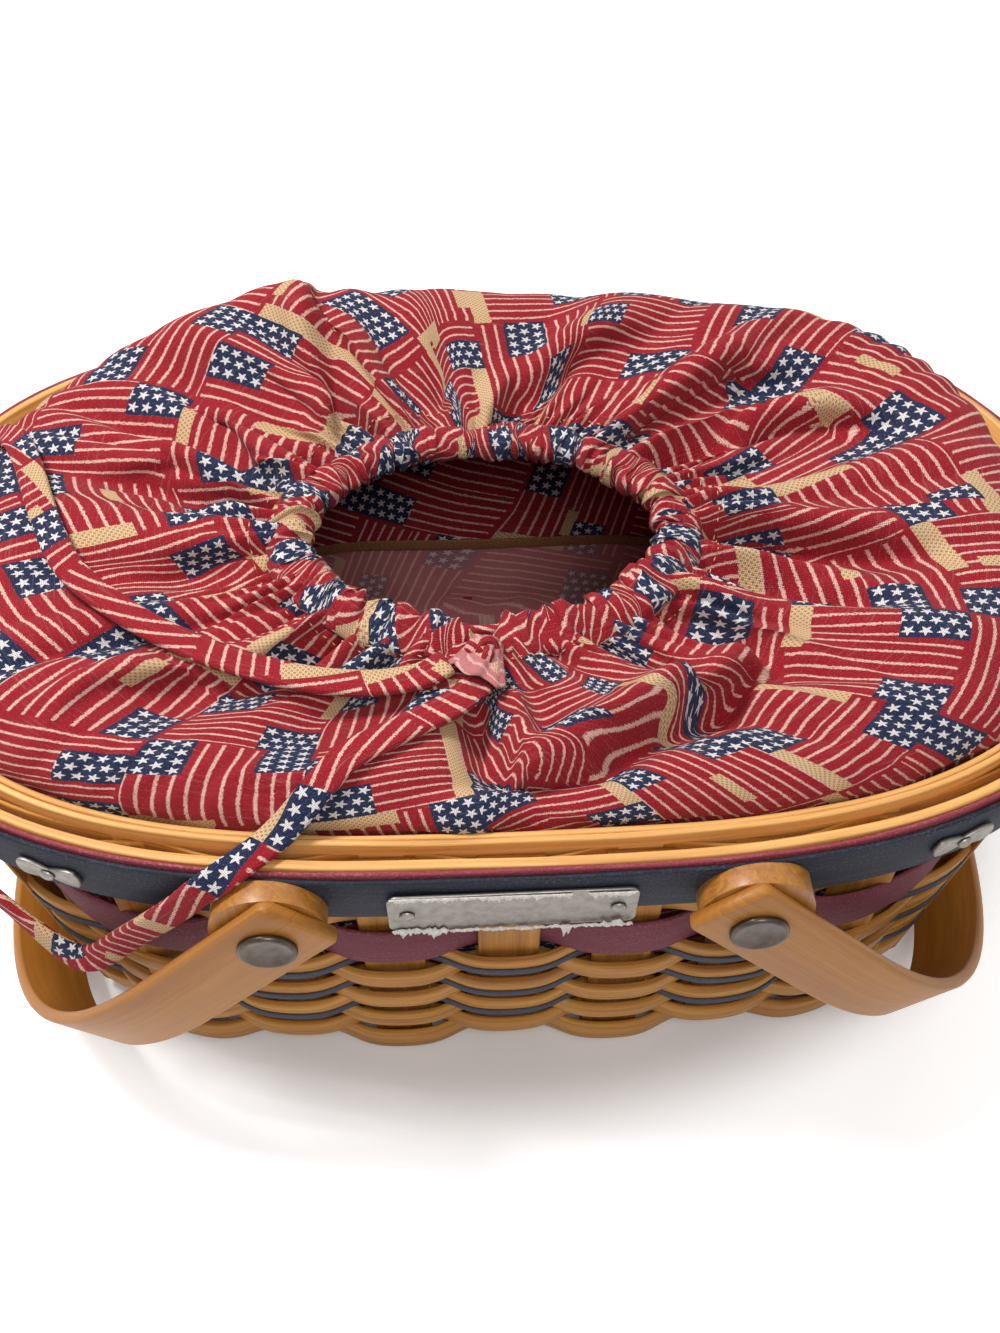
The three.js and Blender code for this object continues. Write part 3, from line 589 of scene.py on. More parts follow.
def add_weave():
    pitch = (NARROW_TOP - NARROW_FOOT) / NARROW_ROWS
    middles = [NARROW_FOOT + (row + 0.5) * pitch for row in range(NARROW_ROWS)]
    for row, middle in enumerate(middles):
        extra = 0.0 if row else LOWEST_ROW_EXTRA
        piece = woven_row(f"narrow_weaver_{row + 1}_look", middle - extra / 2, pitch + extra, 0.0021,
                          (row + 1) % 2, NARROW_SWING, natural, 1.7 * row + 0.3, level=0.0002)
        stands_for(piece, "splint_wood" if row % 2 else "pale_splint_wood", f"narrow_weaver_{row + 1}")
    for number, row in enumerate(ACCENT_ROWS):
        piece = woven_row(f"accent_weaver_{number + 1}", middles[row] - pitch * 0.26, 0.0030, 0.0007,
                          (row + 1) % 2, NARROW_SWING, accent_dye, 3.1 * number + 0.5, out=0.0013)
        stands_for(piece, "navy_splint")
    wide = woven_row("wide_coloured_weaver_look", (NARROW_TOP + WIDE_TOP) / 2, WIDE_TOP - NARROW_TOP - ROW_GAP,
                     0.0012, 1, 0.0026, burgundy_dye, 8.8)
    stands_for(wide, "burgundy_splint", "wide_coloured_weaver")
    top = woven_row("top_weaver_look", (WIDE_TOP + TOP_ROW_TOP) / 2, TOP_ROW_TOP - WIDE_TOP,
                    0.0010, 0, 0.0014, natural, 9.9)
    stands_for(top, "splint_wood", "top_weaver")


def splint(name, axis, place, number):
    """One flat strip: up one side, across the floor under and over its neighbours, up the other side."""
    bend = 0.0042
    if axis == 0:
        stake, opposite = STAKES // 4 - place / CROSS_PITCH, STAKES
        gap, furthest = LONG_PITCH, LONG_SPLINTS_AT_Y[-1]
    else:
        stake, opposite = place / LONG_PITCH, STAKES // 2
        gap, furthest = CROSS_PITCH, CROSS_SPLINTS_AT_X[-1]
    heights = np.linspace(0.112, 0.0066, 44)
    first_side, other_side = (wall_frame(heights, np.full(len(heights), where % STAKES), STAKE_DEPTH)[0]
                              for where in (stake, opposite - stake))
    start = first_side[-1, 1 - axis]
    reach = abs(start)
    run = np.sin(np.linspace(1, -1, 161) * math.pi / 2) * (reach - 0.0002)
    over = np.cos(math.pi * (run / gap + number + axis))
    inside = np.clip((furthest + 0.012 - abs(run)) / 0.01, 0, 1)
    z = FLOOR_HEIGHT + 0.00085 * np.tanh(1.2 * over) * inside
    round_bend = np.clip((abs(run) - (reach - bend)) / bend, 0, 1)
    z = z + bend * (1 - np.sqrt(np.maximum(0, 1 - round_bend ** 2)))
    floor_points = np.zeros((len(run), 3))
    floor_points[:, axis] = place
    floor_points[:, 1 - axis] = run * math.copysign(1, start)
    floor_points[:, 2] = z
    points = np.vstack([first_side, floor_points, other_side[::-1]])
    tangents = unit(np.gradient(points, axis=0))
    across = np.zeros_like(points)
    across[:, axis] = 1.0
    across = square_to(across, tangents)
    outward = np.cross(tangents, across)
    if outward[len(points) // 2, 2] > 0:
        across, outward = -across, -outward
    shape = section(SPLINT_WIDTH / 2, SPLINT_THICKNESS / 2, 0.0004)
    return strip(name, points, across, outward, shape, stake_wood, seed=number * 0.61 + axis * 5.3)


def add_splints():
    for kind, axis, places in (("cross", 0, CROSS_SPLINTS_AT_X), ("long", 1, LONG_SPLINTS_AT_Y)):
        for number, place in enumerate(places):
            node = f"{kind}_splint_{number + 1}"
            stands_for(splint(f"{node}_look", axis, place, number), "splint_wood", node)


# Rim: name, depth, thickness, top above the rim's height, material, seed, slot
RIM_BANDS = (
    ("rim_navy_band", 0.0, 0.0013, -0.0014, navy_dye, 0.9, "navy_splint"),
    ("rim_coloured_band", 0.0016, 0.0011, -0.0003, worn_burgundy, 2.2, "burgundy_splint"),
    ("rim_outer_band", 0.0030, 0.0024, 0.0, pale, 4.1, "pale_splint_wood"),
    ("rim_inner_band", 0.0091, 0.0017, 0.0002, pale, 5.7, "pale_splint_wood"),
    ("rim_lining_band", 0.0109, 0.0015, -0.0002, pale, 7.4, "pale_splint_wood"),
)


def add_rim():
    count = 480
    stakes = np.arange(count) * STAKES / count
    bottom = HEIGHT - BAND_HEIGHT
    for name, depth, thickness, above, material, seed, slot in RIM_BANDS:
        top = HEIGHT + above
        points, outward, rise = wall_frame((bottom + top) / 2, stakes, depth + thickness / 2)
        ripple = 0.00022 * np.sin(stakes * 1.7 + seed) + 0.00015 * np.sin(stakes * 4.3 + seed * 2)
        points = points + rise * ripple[:, None]
        shape = section((top - bottom) / 2, thickness / 2, 0.0005)
        piece = strip(f"{name}_look", points, rise, outward, shape, material, closed=True, seed=seed)
        stands_for(piece, slot, name)


add_splints()
add_weave()
add_rim()


# Handles, ears, rivets
def handle_path():
    """Middle line of the bent strip in its own plane: away from the pivots, and across."""
    angles = np.linspace(-math.pi / 2, math.pi / 2, 150)
    reach = HANDLE_REACH - HANDLE_STRAIGHT
    c = np.maximum(0, np.cos(angles)) ** (2 / HANDLE_ROUNDNESS)
    s = np.sign(np.sin(angles)) * abs(np.sin(angles)) ** (2 / HANDLE_ROUNDNESS)
    bow = np.stack([HANDLE_STRAIGHT + reach * c, HANDLE_LEG_Y * s], -1)
    straight = np.linspace(-HANDLE_BEYOND, HANDLE_STRAIGHT, 24)[:-1]
    leg = np.stack([straight, np.full_like(straight, -HANDLE_LEG_Y)], -1)
    return np.vstack([leg, bow, (leg * (1, -1))[::-1]])


def add_handle(end, side):
    count, rounding = 260, 0.0016
    flat = handle_path()
    away = np.array((side * math.cos(HANDLE_ANGLE), 0, -math.sin(HANDLE_ANGLE)))
    centre = np.array((side * PIVOT_X, 0, PIVOT_Z))
    points = centre + flat[:, :1] * away + flat[:, 1:] * np.array((0, 1, 0))
    at = run_length(points)
    even = np.linspace(0, at[-1], count)
    points = read_off(even, at, points)
    tangents = unit(np.gradient(points, axis=0))
    across = np.broadcast_to(np.cross((0, 1, 0), away), points.shape)
    outward = unit(np.cross(tangents, across))
    middle = count // 2
    if np.dot(outward[middle], points[middle] - centre - away * 0.04) < 0:
        across, outward = -across, -outward
    to_end = np.minimum(even, at[-1] - even)
    taper = np.ones(count)
    short = to_end < rounding
    taper[short] = 0.9 + 0.1 * np.sqrt(1 - (1 - to_end[short] / rounding) ** 2)
    shape = section(HANDLE_WIDTH / 2, HANDLE_THICKNESS / 2, 0.0011)
    piece = strip(f"handle_{end}_look", points, across, outward, shape, varnished,
                  seed=2.0 + side, taper=taper)
    stands_for(piece, "handle_wood", f"handle_{end}", body=f"handle_{end}")


def lathe_y(name, profile, centre, sign, material):
    """Turns a profile of (radius, outward) round an axis across the basket."""
    count = 40
    turn = circle(count)
    grid = np.zeros((len(profile), count, 3))
    for i, (radius, reach) in enumerate(profile):
        grid[i, :, 0] = centre[0] + radius * np.cos(turn)
        grid[i, :, 1] = centre[1] + sign * reach
        grid[i, :, 2] = centre[2] + radius * np.sin(turn)
    uv = np.zeros((len(profile) + 1, count + 1, 2))
    uv[:, :, 0] = np.linspace(0, 0.04, count + 1)[None]
    uv[:, :, 1] = np.linspace(0, 0.01, len(profile) + 1)[:, None]
    return lattice(name, grid, uv, material, cap=True, flip=sign > 0)


# Rivets, as (radius, outward): the burr from its inner face, and the dished head from the handle's face
BURR = ((0.0001, 0), (0.0036, 0), (0.0044, 0.0002), (0.0046, 0.0005), (0.0046, 0.0009), (0.0026, 0.0009))
HEAD = (
    (0.0026, 0.0), (0.0069, 0.0), (0.0069, 0.0006), (0.00675, 0.00105), (0.0064, 0.0013), (0.0059, 0.00135),
    (0.0054, 0.0012), (0.0046, 0.00095), (0.0036, 0.0008), (0.0022, 0.00072), (0.0001, 0.0007),
)


def add_rivets_and_ears():
    face = EAR_FACE_Y + EYE_GAP + HANDLE_THICKNESS + EYE_GAP
    for end, side in (("left", -1), ("right", 1)):
        for face_name, sign in (("front", -1), ("back", 1)):
            node = f"rivet_{end}_{face_name}"
            low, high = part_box(node)
            back = min(abs(low[1]), abs(high[1])) - face
            profile = [(radius, back + reach) for radius, reach in BURR] + list(HEAD)
            piece = lathe_y(f"{node}_look", profile, (side * PIVOT_X, sign * face, PIVOT_Z), sign, pewter)
            piece.data.set_sharp_from_angle(angle=0.9)
            stands_for(piece, "rivet_metal", node)
            node = f"ear_{end}_{face_name}"
            ear = merged_copy(node, ear_wood, 0.0009, 3)
            for vertex in ear.data.vertices:
                below = min(1, max(0, (PIVOT_Z - 0.001 - vertex.co.z) / 0.009))
                vertex.co.x = side * PIVOT_X + (vertex.co.x - side * PIVOT_X) * (1 - 0.62 * below)
            stands_for(ear, "handle_wood", node)


add_handle("left", -1)
add_handle("right", 1)
add_rivets_and_ears()


# Plate and ornaments
def add_plate():
    stands_for(merged_copy("plate", brushed, 0.00035, 3), "bright_metal", "plate")
    for end in ("left", "right"):
        for kind, bevel in (("plate_nail", 0), ("ornament", 0.0003), ("ornament_nail", 0)):
            node = f"{kind}_{end}"
            stands_for(merged_copy(node, brushed, bevel), "bright_metal", node)


# Scraps of film (mm): from x, to x, side of the plate, cover over its face, hang over its edge
SCRAPS = (
    (-28.2, 13.5, 1, 2.3, 0.1), (17, 28.2, 1, 2.6, 0.1), (-28.4, -15, -1, 1.6, 3.0), (-15, 27, -1, 0.9, 0.9),
    (19, 28.4, -1, 2.2, 0.8), (11.2, 14.2, -1, 1.0, 5.4),
)
# A scrap's section: share of the way from its inner to its outer edge, and height above the plate
SCRAP_SECTION = ((0, 0.00012), (0.5, 0.0004), (1, 0.00016), (1, 0.00002), (0, 0.00002))


def add_film():
    """Ragged remains of a protective film along the edges of the plate."""
    low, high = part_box("plate")
    at = np.array([v.co for v in bpy.data.objects["plate_look"].data.vertices])
    tops = at[at[:, 2] > high[2] - 0.004][:, 1].min()
    feet = at[at[:, 2] < low[2] + 0.004][:, 1].min()
    rng = np.random.default_rng(19)
    for number, (first, last, side, cover, hang) in enumerate(SCRAPS):
        count = int((last - first) / 0.35) + 2
        x = np.linspace(first, last, count) / 1000
        end = np.minimum(1, np.minimum(np.arange(count), np.arange(count)[::-1]) / 3)
        ragged = np.convolve(rng.uniform(0.1, 1.6, count + 4), np.ones(3) / 3, "valid")[:count]
        ragged = ragged * rng.uniform(0.7, 1.2, count)
        teeth = np.convolve(rng.uniform(0.0, 1.7, count + 2), np.ones(2) / 2, "valid")[:count]
        edge = high[2] if side > 0 else low[2]
        inner = edge - side * cover * ragged * (0.3 + 0.7 * end) / 1000
        outer = edge + side * hang * teeth * end / 1000 - side * 0.0002
        rows = []
        for share, puff in SCRAP_SECTION:
            z = inner + (outer - inner) * share
            lean = (z - low[2]) / (high[2] - low[2])
            lift = puff * (1 + 0.6 * rng.uniform(-1, 1, count))
            rows.append(np.column_stack([x, feet + (tops - feet) * lean - lift, z]))
        uv = np.zeros((len(rows) + 1, count + 1, 2))
        uv[:, :, 0] = np.append(x, x[-1])
        piece = lattice(f"plate_film_{number + 1}", np.array(rows), uv, film, wrap_rows=True,
                        wrap_columns=False, flip=side < 0)
        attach(piece, "basket")


add_plate()
add_film()


# Liner. Each ridge of the cloth: its angle in degrees and its swell above the rim in millimetres
RIDGES = (
    (8, 15), (31, 15.5), (54, 23), (76, 27), (95, 32), (109, 37), (127, 30), (142, 21), (158, 16),
    (178, 15), (199, 14.5), (220, 13.3), (241, 11.9), (262, 11), (284, 11.2), (307, 12.4), (331, 14),
)
VALLEY_DEPTH = 0.005
# Gathers of the cloth at the neck: how many, how uneven, and their seed
BROAD_GATHERS = (31, 2.2, 5)
FINE_GATHERS = (63, 3.0, 8)
# Creases of the cloth from the neck outwards: depth, the side that lies over, and where each runs (mm)
CREASES = (
    (3.6, 1, ((-41, 30), (-46, 55), (-49, 88))),
    (3.5, -1, ((-53, 7), (-74, 33), (-91, 57))),
    (3.0, -1, ((-56, 6), (-86, 20), (-114, 19))),
    (3.5, -1, ((-52, -13), (-79, -14), (-104, -19))),
    (3.2, -1, ((-37, -23), (-55, -31), (-73, -42))),
    (3.0, -1, ((-32, -28), (-49, -41), (-65, -53))),
    (7.4, 1, ((-5, -61), (-2, -75), (3, -85), (21, -78), (39, -69), (60, -56), (77, -48))),
    (4.5, 1, ((43, -32), (54, -39), (71, -53), (98, -63))),
    (4.2, 1, ((49, -13), (61, -18), (84, -28), (111, -38))),
    (5.5, 1, ((52, -6), (71, -8), (96, -13), (125, -21))),
    (4.8, 1, ((40, 19), (64, 30), (96, 34), (123, 30))),
    (4.2, 1, ((29, 18), (45, 34), (70, 48), (99, 50))),
    (4.0, 1, ((-3, 25), (9, 44), (32, 56), (53, 65))),
    (3.0, -1, ((-17, 28), (-13, 48), (-15, 67))),
    (3.0, 1, ((3, -83), (-10, -84), (-31, -88))),
    (2.5, -1, ((-76, -52), (-96, -57), (-112, -72))),
    (3.0, 1, ((-48, 2), (-70, 7), (-98, 4))),
)
CREASE_GAIN = 1.35
LINER_COLUMNS, LINER_ROWS = 660, 100
# Rings of the bag from its rim to its floor: height, and how far inside the wall
BAG_RINGS = (
    (HEIGHT - 0.002, 0.0142), (HEIGHT - 0.012, 0.0146), (0.09, 0.0150), (0.06, 0.0150), (SEAM_HEIGHT, 0.0150),
    (0.03, 0.0150), (0.014, 0.0152), (0.008, 0.0158), (0.0050, 0.0176), (0.0047, 0.030),
)


def ridge_values(angle):
    """The swell at an angle, and the share of the way down from the ridge into the valley."""
    at, swell = np.array(RIDGES + ((RIDGES[0][0] + 360, RIDGES[0][1]),), float).T
    degrees = (np.degrees(angle) - at[0]) % 360 + at[0]
    place = np.interp(degrees, at, np.arange(len(at)))
    return np.interp(degrees, at, swell / 1000), np.sin(math.pi * (place % 1)) ** 2


def neck_oval(angle, grow):
    return np.stack([(size + grow) * ratio + centre
                     for size, ratio, centre in zip(NECK, (np.cos(angle), np.sin(angle)), NECK_CENTRE)], -1)


def liner_shoulder(angle, share):
    """The smooth swelling of the liner between the rim, share 0, and its neck, share 1."""
    rim = superellipse((RIM[0] - LINER_DEPTH, RIM[1] - LINER_DEPTH, RIM[2]), angle)
    flat = rim + (neck_oval(angle, 0.0036) - rim) * share[..., None]
    edge = NECK_HEIGHT - HEIGHT
    swell, valley = ridge_values(angle)
    form = np.sin(math.pi * np.minimum(1, share ** 0.72)) ** 0.8
    z = HEIGHT + edge * share + form * (swell - edge * share)
    z = z - VALLEY_DEPTH * smooth(share, 0.08, 0.5) * (1 - smooth(share, 0.7, 1)) * valley
    # at the back right the cloth leans over the rim
    lean = bell(angle, math.radians(42), 0.55) * smooth(share, 0, 0.08) * (1 - smooth(share, 0.1, 0.5))
    flat = flat * (1 + 0.035 * lean)[..., None]
    return np.concatenate([flat, (z + 0.0050 * lean)[..., None]], -1)


def creases(points):
    """How far the cloth stands in or out beside its creases; one side of each lies over the other."""
    flat = points[..., :2].reshape(-1, 2) * 1000
    total = np.zeros(len(flat))
    for depth, side, spots in CREASES:
        spots = np.array(spots, float)
        starts = run_length(spots)
        legs = np.diff(starts)
        nearest = np.full(len(flat), np.inf)
        signed = np.zeros(len(flat))
        along = np.zeros(len(flat))
        for k, leg in enumerate(legs):
            way = (spots[k + 1] - spots[k]) / leg
            aside = flat - spots[k]
            t = aside @ way
            held = np.clip(t, 0, leg)
            gap = np.linalg.norm(aside - held[:, None] * way, axis=1)
            closer = gap < nearest
            cross = way[0] * aside[:, 1] - way[1] * aside[:, 0]
            nearest = np.where(closer, gap, nearest)
            signed = np.where(closer, np.where(cross < 0, -gap, gap) * side, signed)
            beyond = t if k in (0, len(legs) - 1) else held
            along = np.where(closer, starts[k] + beyond, along)
        end = starts[-1]
        fade = smooth(along, -8, 4) * (1 - smooth(along, end - 30, end - 1))
        shape = 0.66 * bell(signed, 5.6, 4.4) - bell(signed, 0, np.where(signed > 0, 1.7, 6.5))
        total += CREASE_GAIN * depth * shape * fade
    return (total / 1000).reshape(points.shape[:-1])


def spread_low(values, rows_each_way, columns_each_way):
    """The lowest value near each place of a ring-shaped grid."""
    low = values.copy()
    for shift in range(-rows_each_way, rows_each_way + 1):
        take = np.clip(np.arange(len(values)) + shift, 0, len(values) - 1)
        low = np.minimum(low, values[take])
    near = low.copy()
    for shift in range(-columns_each_way, columns_each_way + 1):
        near = np.minimum(near, np.roll(low, shift, 1))
    return near


def gather_phase(angle, number, jitter, seed):
    """Grows by a full turn from each gather to the next, unevenly."""
    rng = np.random.default_rng(seed)
    phase = number * angle
    for k in range(1, 8):
        phase = phase + jitter * rng.uniform(-1, 1) * np.sin(k * angle + rng.uniform(0, TURN))
    return phase


def gathers(angle, number, jitter, seed, sharp=0.75):
    """Round ridges with sharp valleys between them, unevenly spaced; 1 on a ridge."""
    return np.abs(np.cos(gather_phase(angle, number, jitter, seed) / 2)) ** sharp


def fold_depth(angle, share, base):
    """How far the folds stand out of the smooth swelling, and how deep in a valley each place lies."""
    # many narrow folds at the neck run together into fewer broad ones towards the rim
    vary = 0.75 + 0.25 * np.sin(2 * angle + 1) * np.sin(5 * angle)
    broad = gathers(angle, *BROAD_GATHERS)
    pillow = bell(base[..., 0], 0.024, 0.026) * bell(base[..., 1], -0.062, 0.013)
    depth = (0.0062 * smooth(share, 0.42, 0.88) * (broad - 0.78) * vary
             + 0.0034 * smooth(share, 0.66, 0.93) * (gathers(angle, *FINE_GATHERS) - 0.6)
             + creases(base) * (1 - 0.4 * smooth(share, 0.85, 1))
             + 0.0042 * pillow
             + 0.0022 * smooth(share, 0.08, 0.3) * (gathers(angle, 23, 2.5, 13, 1.0) - 0.6))
    lumps = 0.0014 * np.sin(5 * angle + 4 * share) * np.sin(2 * angle - 3 * share + 1)
    pleat = 0.0011 * (gathers(angle, 47, 3.0, 21, 1.2) - 0.5) * (1 - smooth(share, 0.05, 0.45))
    depth = depth + lumps * smooth(share, 0.02, 0.3) + pleat * smooth(share, 0.0, 0.05)
    valley = np.clip(1.25 - broad * 1.6, 0, 1) * smooth(share, 0.1, 0.5) + 0.3 * np.clip(-depth / 0.003, 0, 1)
    return depth, valley


def cloth_widths(step, valley, sector):
    """Widths of cloth between neighbouring points of each row. The cloth that a row can't show is tucked into
    its valleys, gather by gather, so that the print runs straight along the ridges."""
    width = step.copy()
    share = np.bincount(sector, weights=step[0]) / step[0].sum()
    for k in range(sector.max() + 1):
        here = sector == k
        weight = step[:, here] * (valley[:, here] ** 1.5 + 0.02)
        spare = GIRTH * share[k] - step[:, here].sum(1)
        width[:, here] += weight * (spare / weight.sum(1))[:, None]
    width = np.maximum(width, 0.15 * step)
    return width * (GIRTH / width.sum(1))[:, None]


def bag_ring(angle, z, inset):
    """A level ring inside the wall."""
    lines = (superellipse(oval, angle) for oval in (FOOT, RIM))
    foot, rim = (line - unit(line * (1, 2)) * inset for line in lines)
    return foot + (rim - foot) * z / HEIGHT


def bag_walls(angle):
    """The outer side of the bag below the rim. Its foot bulges between the uprights."""
    foot = superellipse(FOOT, angle)
    bearing = np.arctan2(np.sin(angle) * FOOT[1], np.cos(angle) * FOOT[0])
    stakes = np.where(np.abs(np.sin(bearing)) > 0.45, foot[:, 0] / CROSS_PITCH, foot[:, 1] / LONG_PITCH)
    between = np.sin(math.pi * stakes) ** 2
    walls = []
    for z, inset in BAG_RINGS:
        sag = between * smooth(0.016 - z, 0, 0.008) * (inset < 0.025)
        flat = bag_ring(angle, z, (inset - 0.0030 * sag)[:, None])
        sway = 0.0006 * np.sin(23 * angle + z * 60) + 0.0005 * np.sin(11 * angle - z * 90)
        flat = flat * (1 + sway / 0.12)[:, None] - flat * 0.004
        walls.append(np.column_stack([flat, z - 0.0034 * sag * (z < 0.006)]))
    return np.array(walls)


def add_liner():
    rows, columns = LINER_ROWS, LINER_COLUMNS
    around = circle(columns)
    angle = around[None, :].repeat(rows, 0)
    share = np.linspace(0, 1, rows)[:, None].repeat(columns, 1)
    base = liner_shoulder(angle, share)
    normal = unit(np.cross(np.roll(base, -1, 1) - np.roll(base, 1, 1), np.gradient(base, axis=0)))
    depth, valley = fold_depth(angle, share, base)
    points = base + normal * depth[..., None]
    # the print: lengths along each row, so that every row has the cloth's whole width, and up the cloth
    sector = np.floor(gather_phase(around, *BROAD_GATHERS) / TURN).astype(int)
    sector = np.clip(sector - sector[0], 0, None)
    width = cloth_widths(np.linalg.norm(np.roll(points, -1, 1) - points, axis=2), valley, sector)
    u = np.concatenate([np.zeros((rows, 1)), np.cumsum(width, 1)], 1)
    climb = np.linalg.norm(np.diff(base, axis=0), axis=2).mean(1)
    rim_v = 0.1
    v = np.concatenate([[0], np.cumsum(climb)]) + rim_v
    uv = np.stack([u, v[:, None].repeat(columns + 1, 1)], -1)
    press(points)
    # the inner side of the cloth, on fewer rows, and the bag below
    inner = points - normal * 0.0012
    inner[..., 2] = np.minimum(inner[..., 2], spread_low(points[..., 2], 4, 2) - 0.0006)
    inner[0, :, 2] = points[0, :, 2]
    inner[-1, :, 2] = points[-1, :, 2] - 0.0008
    back = np.r_[rows - 1:0:-3, 0]
    outside = bag_walls(around)
    inside = outside.copy()
    inside[:, :, :2] -= unit(outside[:, :, :2]) * 0.0009
    inside[:, :, 2] += 0.0009 * smooth(0.014 - outside[:, :, 2], 0, 0.008)
    shell = np.concatenate([outside[::-1], points, inner[back], inside])
    rings, folded = len(outside), len(outside) + rows + len(back)
    ring_v = np.array([rim_v - (HEIGHT - z) for z, _ in BAG_RINGS])[:, None]
    shell_uv = np.zeros((len(shell) + 1, columns + 1, 2))
    shell_uv[:rings, :, 0] = u[0]
    shell_uv[:rings, :, 1] = ring_v[::-1]
    shell_uv[rings:rings + rows] = uv
    shell_uv[rings + rows:folded] = uv[back]
    shell_uv[folded:folded + rings, :, 0] = u[0]
    shell_uv[folded:folded + rings, :, 1] = ring_v
    shell_uv[-1] = shell_uv[-2]
    piece = lattice("liner_bag_look", shell, shell_uv, print_cloth, cap=True)
    # below the seam the inner side is paler: partly the cloth's own fade, partly painted light that brightens
    # the dim inside of the bag
    piece.data.materials.append(faded_and_painted_light_cloth)
    polygons = list(piece.data.polygons)
    for polygon in polygons[(rings + rows + 2) * columns:]:
        polygon.material_index = int(polygon.center.z < SEAM_HEIGHT)
    # the floor of the bag is printed straight through
    layer = piece.data.uv_layers["surface"].data
    outer_floor, inner_floor = polygons[-2:]
    outer_floor.material_index = 0
    for polygon in (outer_floor, inner_floor):
        for corner in polygon.loop_indices:
            spot = piece.data.vertices[piece.data.loops[corner].vertex_index].co
            layer[corner].uv = (spot.x + 0.4, spot.y + 0.3)
    return stands_for(piece, "liner_cloth", "liner_bag")


def add_casing():
    """The gathered casing round the neck: a soft tube puckered all the way round."""
    columns, ring = 900, 26
    angle = circle(columns)
    pucker = gathers(angle, *BROAD_GATHERS)
    pleat = gathers(angle, *FINE_GATHERS)
    crimp = gathers(angle, 117, 4.0, 17, 1.0)
    opening = bell(angle, math.radians(268), 0.10)
    rng = np.random.default_rng(31)
    wander = sum(rng.uniform(0.4, 1) * np.sin(k * angle + rng.uniform(0, 6.28)) / 3 for k in range(9, 40, 3))
    centre = np.column_stack([neck_oval(angle, 0.0010), np.full(columns, NECK_HEIGHT)])
    centre[:, 2] += 0.0007 * np.sin(7 * angle) + 0.0005 * wander - 0.0035 * opening
    out = unit(np.column_stack([np.cos(angle) / NECK[0], np.sin(angle) / NECK[1], np.zeros(columns)]))
    aside = np.column_stack([-out[:, 1], out[:, 0], np.zeros(columns)])
    grid = np.zeros((ring, columns, 3))
    for i, turn in enumerate(circle(ring)):
        inward = 0.5 - 0.5 * math.cos(turn)
        wide = 0.0050 + (0.0012 * pucker + 0.0016 * (pleat - 0.5) + 0.0007 * wander) * inward
        wide = (wide + 0.0016 * (1 - inward)) * (1 - 0.45 * opening)
        tall = 0.0028 + 0.0011 * pucker + 0.0013 * pleat * (0.3 + 0.7 * inward) + 0.0009 * crimp * inward
        tall = tall * (1 - 0.3 * opening)
        lean = 0.0005 * np.sin(31 * angle + 2 * turn) + 0.0005 * np.sin(53 * angle - 2 * turn + 4 * wander)
        grid[i] = centre + out * (wide * math.cos(turn))[:, None] + aside * lean[:, None]
        grid[i, :, 2] += tall * math.sin(turn) + 0.0006 * np.sin(9 * angle + 3 * turn) - 0.0016 * (1 - inward)
    top = grid[ring // 4]
    step = np.linalg.norm(np.roll(top, -1, 0) - top, axis=1)
    weight = step * ((1 - pucker) ** 1.5 + 0.05)
    u = np.concatenate([[0], np.cumsum(step + weight * (GIRTH - step.sum()) / weight.sum())])
    v = np.linspace(0, 0.030, ring + 1) + 0.21
    uv = np.stack(np.meshgrid(v, u, indexing="ij")[::-1], -1)
    piece = lattice("neck_casing_look", grid, uv, print_cloth, wrap_rows=True, flip=True)
    return stands_for(piece, "liner_cloth", "neck_casing")


def add_stitches(cloth):
    """The seam that closes the casing: short stitches of thread on the cloth round the neck."""
    row, pitch, length, radius = 91, 0.0034, 0.0021, 0.00022
    first = (len(BAG_RINGS) + row) * LINER_COLUMNS
    ring = [cloth.data.vertices[first + j % LINER_COLUMNS] for j in range(LINER_COLUMNS + 1)]
    spots = np.array([v.co for v in ring])
    normals = np.array([v.normal for v in ring])
    at = run_length(spots)
    points, faces = [], []
    for start in np.arange(0, at[-1] - pitch, pitch):
        a, b = read_off(np.array((start, start + length)), at, spots)
        normal = unit(read_off(start + length / 2, at, normals))
        aside = np.cross(normal, unit(b - a))
        middle = (a + b) / 2 + normal * 0.00035
        base = len(points)
        points += [a, middle + aside * radius, middle + normal * radius, middle - aside * radius,
                   middle - normal * radius, b]
        for k in range(4):
            one, two = base + 1 + k, base + 1 + (k + 1) % 4
            faces += [(base, two, one), (base + 5, one, two)]
    piece = new_object("casing_stitches", points, faces, np.zeros((len(faces) * 3, 2)), thread)
    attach(piece, "basket")
    return piece


def add_inner_seam():
    """A tape over the seam inside the bag."""
    angle = circle(400)
    flat = bag_ring(angle, SEAM_HEIGHT, 0.0166) * 0.996
    z = SEAM_HEIGHT + 0.0006 * np.sin(9 * angle) + 0.0004 * np.sin(23 * angle)
    outward = np.column_stack([unit(flat), np.zeros(len(angle))])
    piece = strip("inner_seam", np.column_stack([flat, z]), np.tile((0, 0, 1.0), (len(angle), 1)), outward,
                  section(0.0022, 0.0004, 0.0003), tape, closed=True)
    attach(piece, "basket")
    return piece


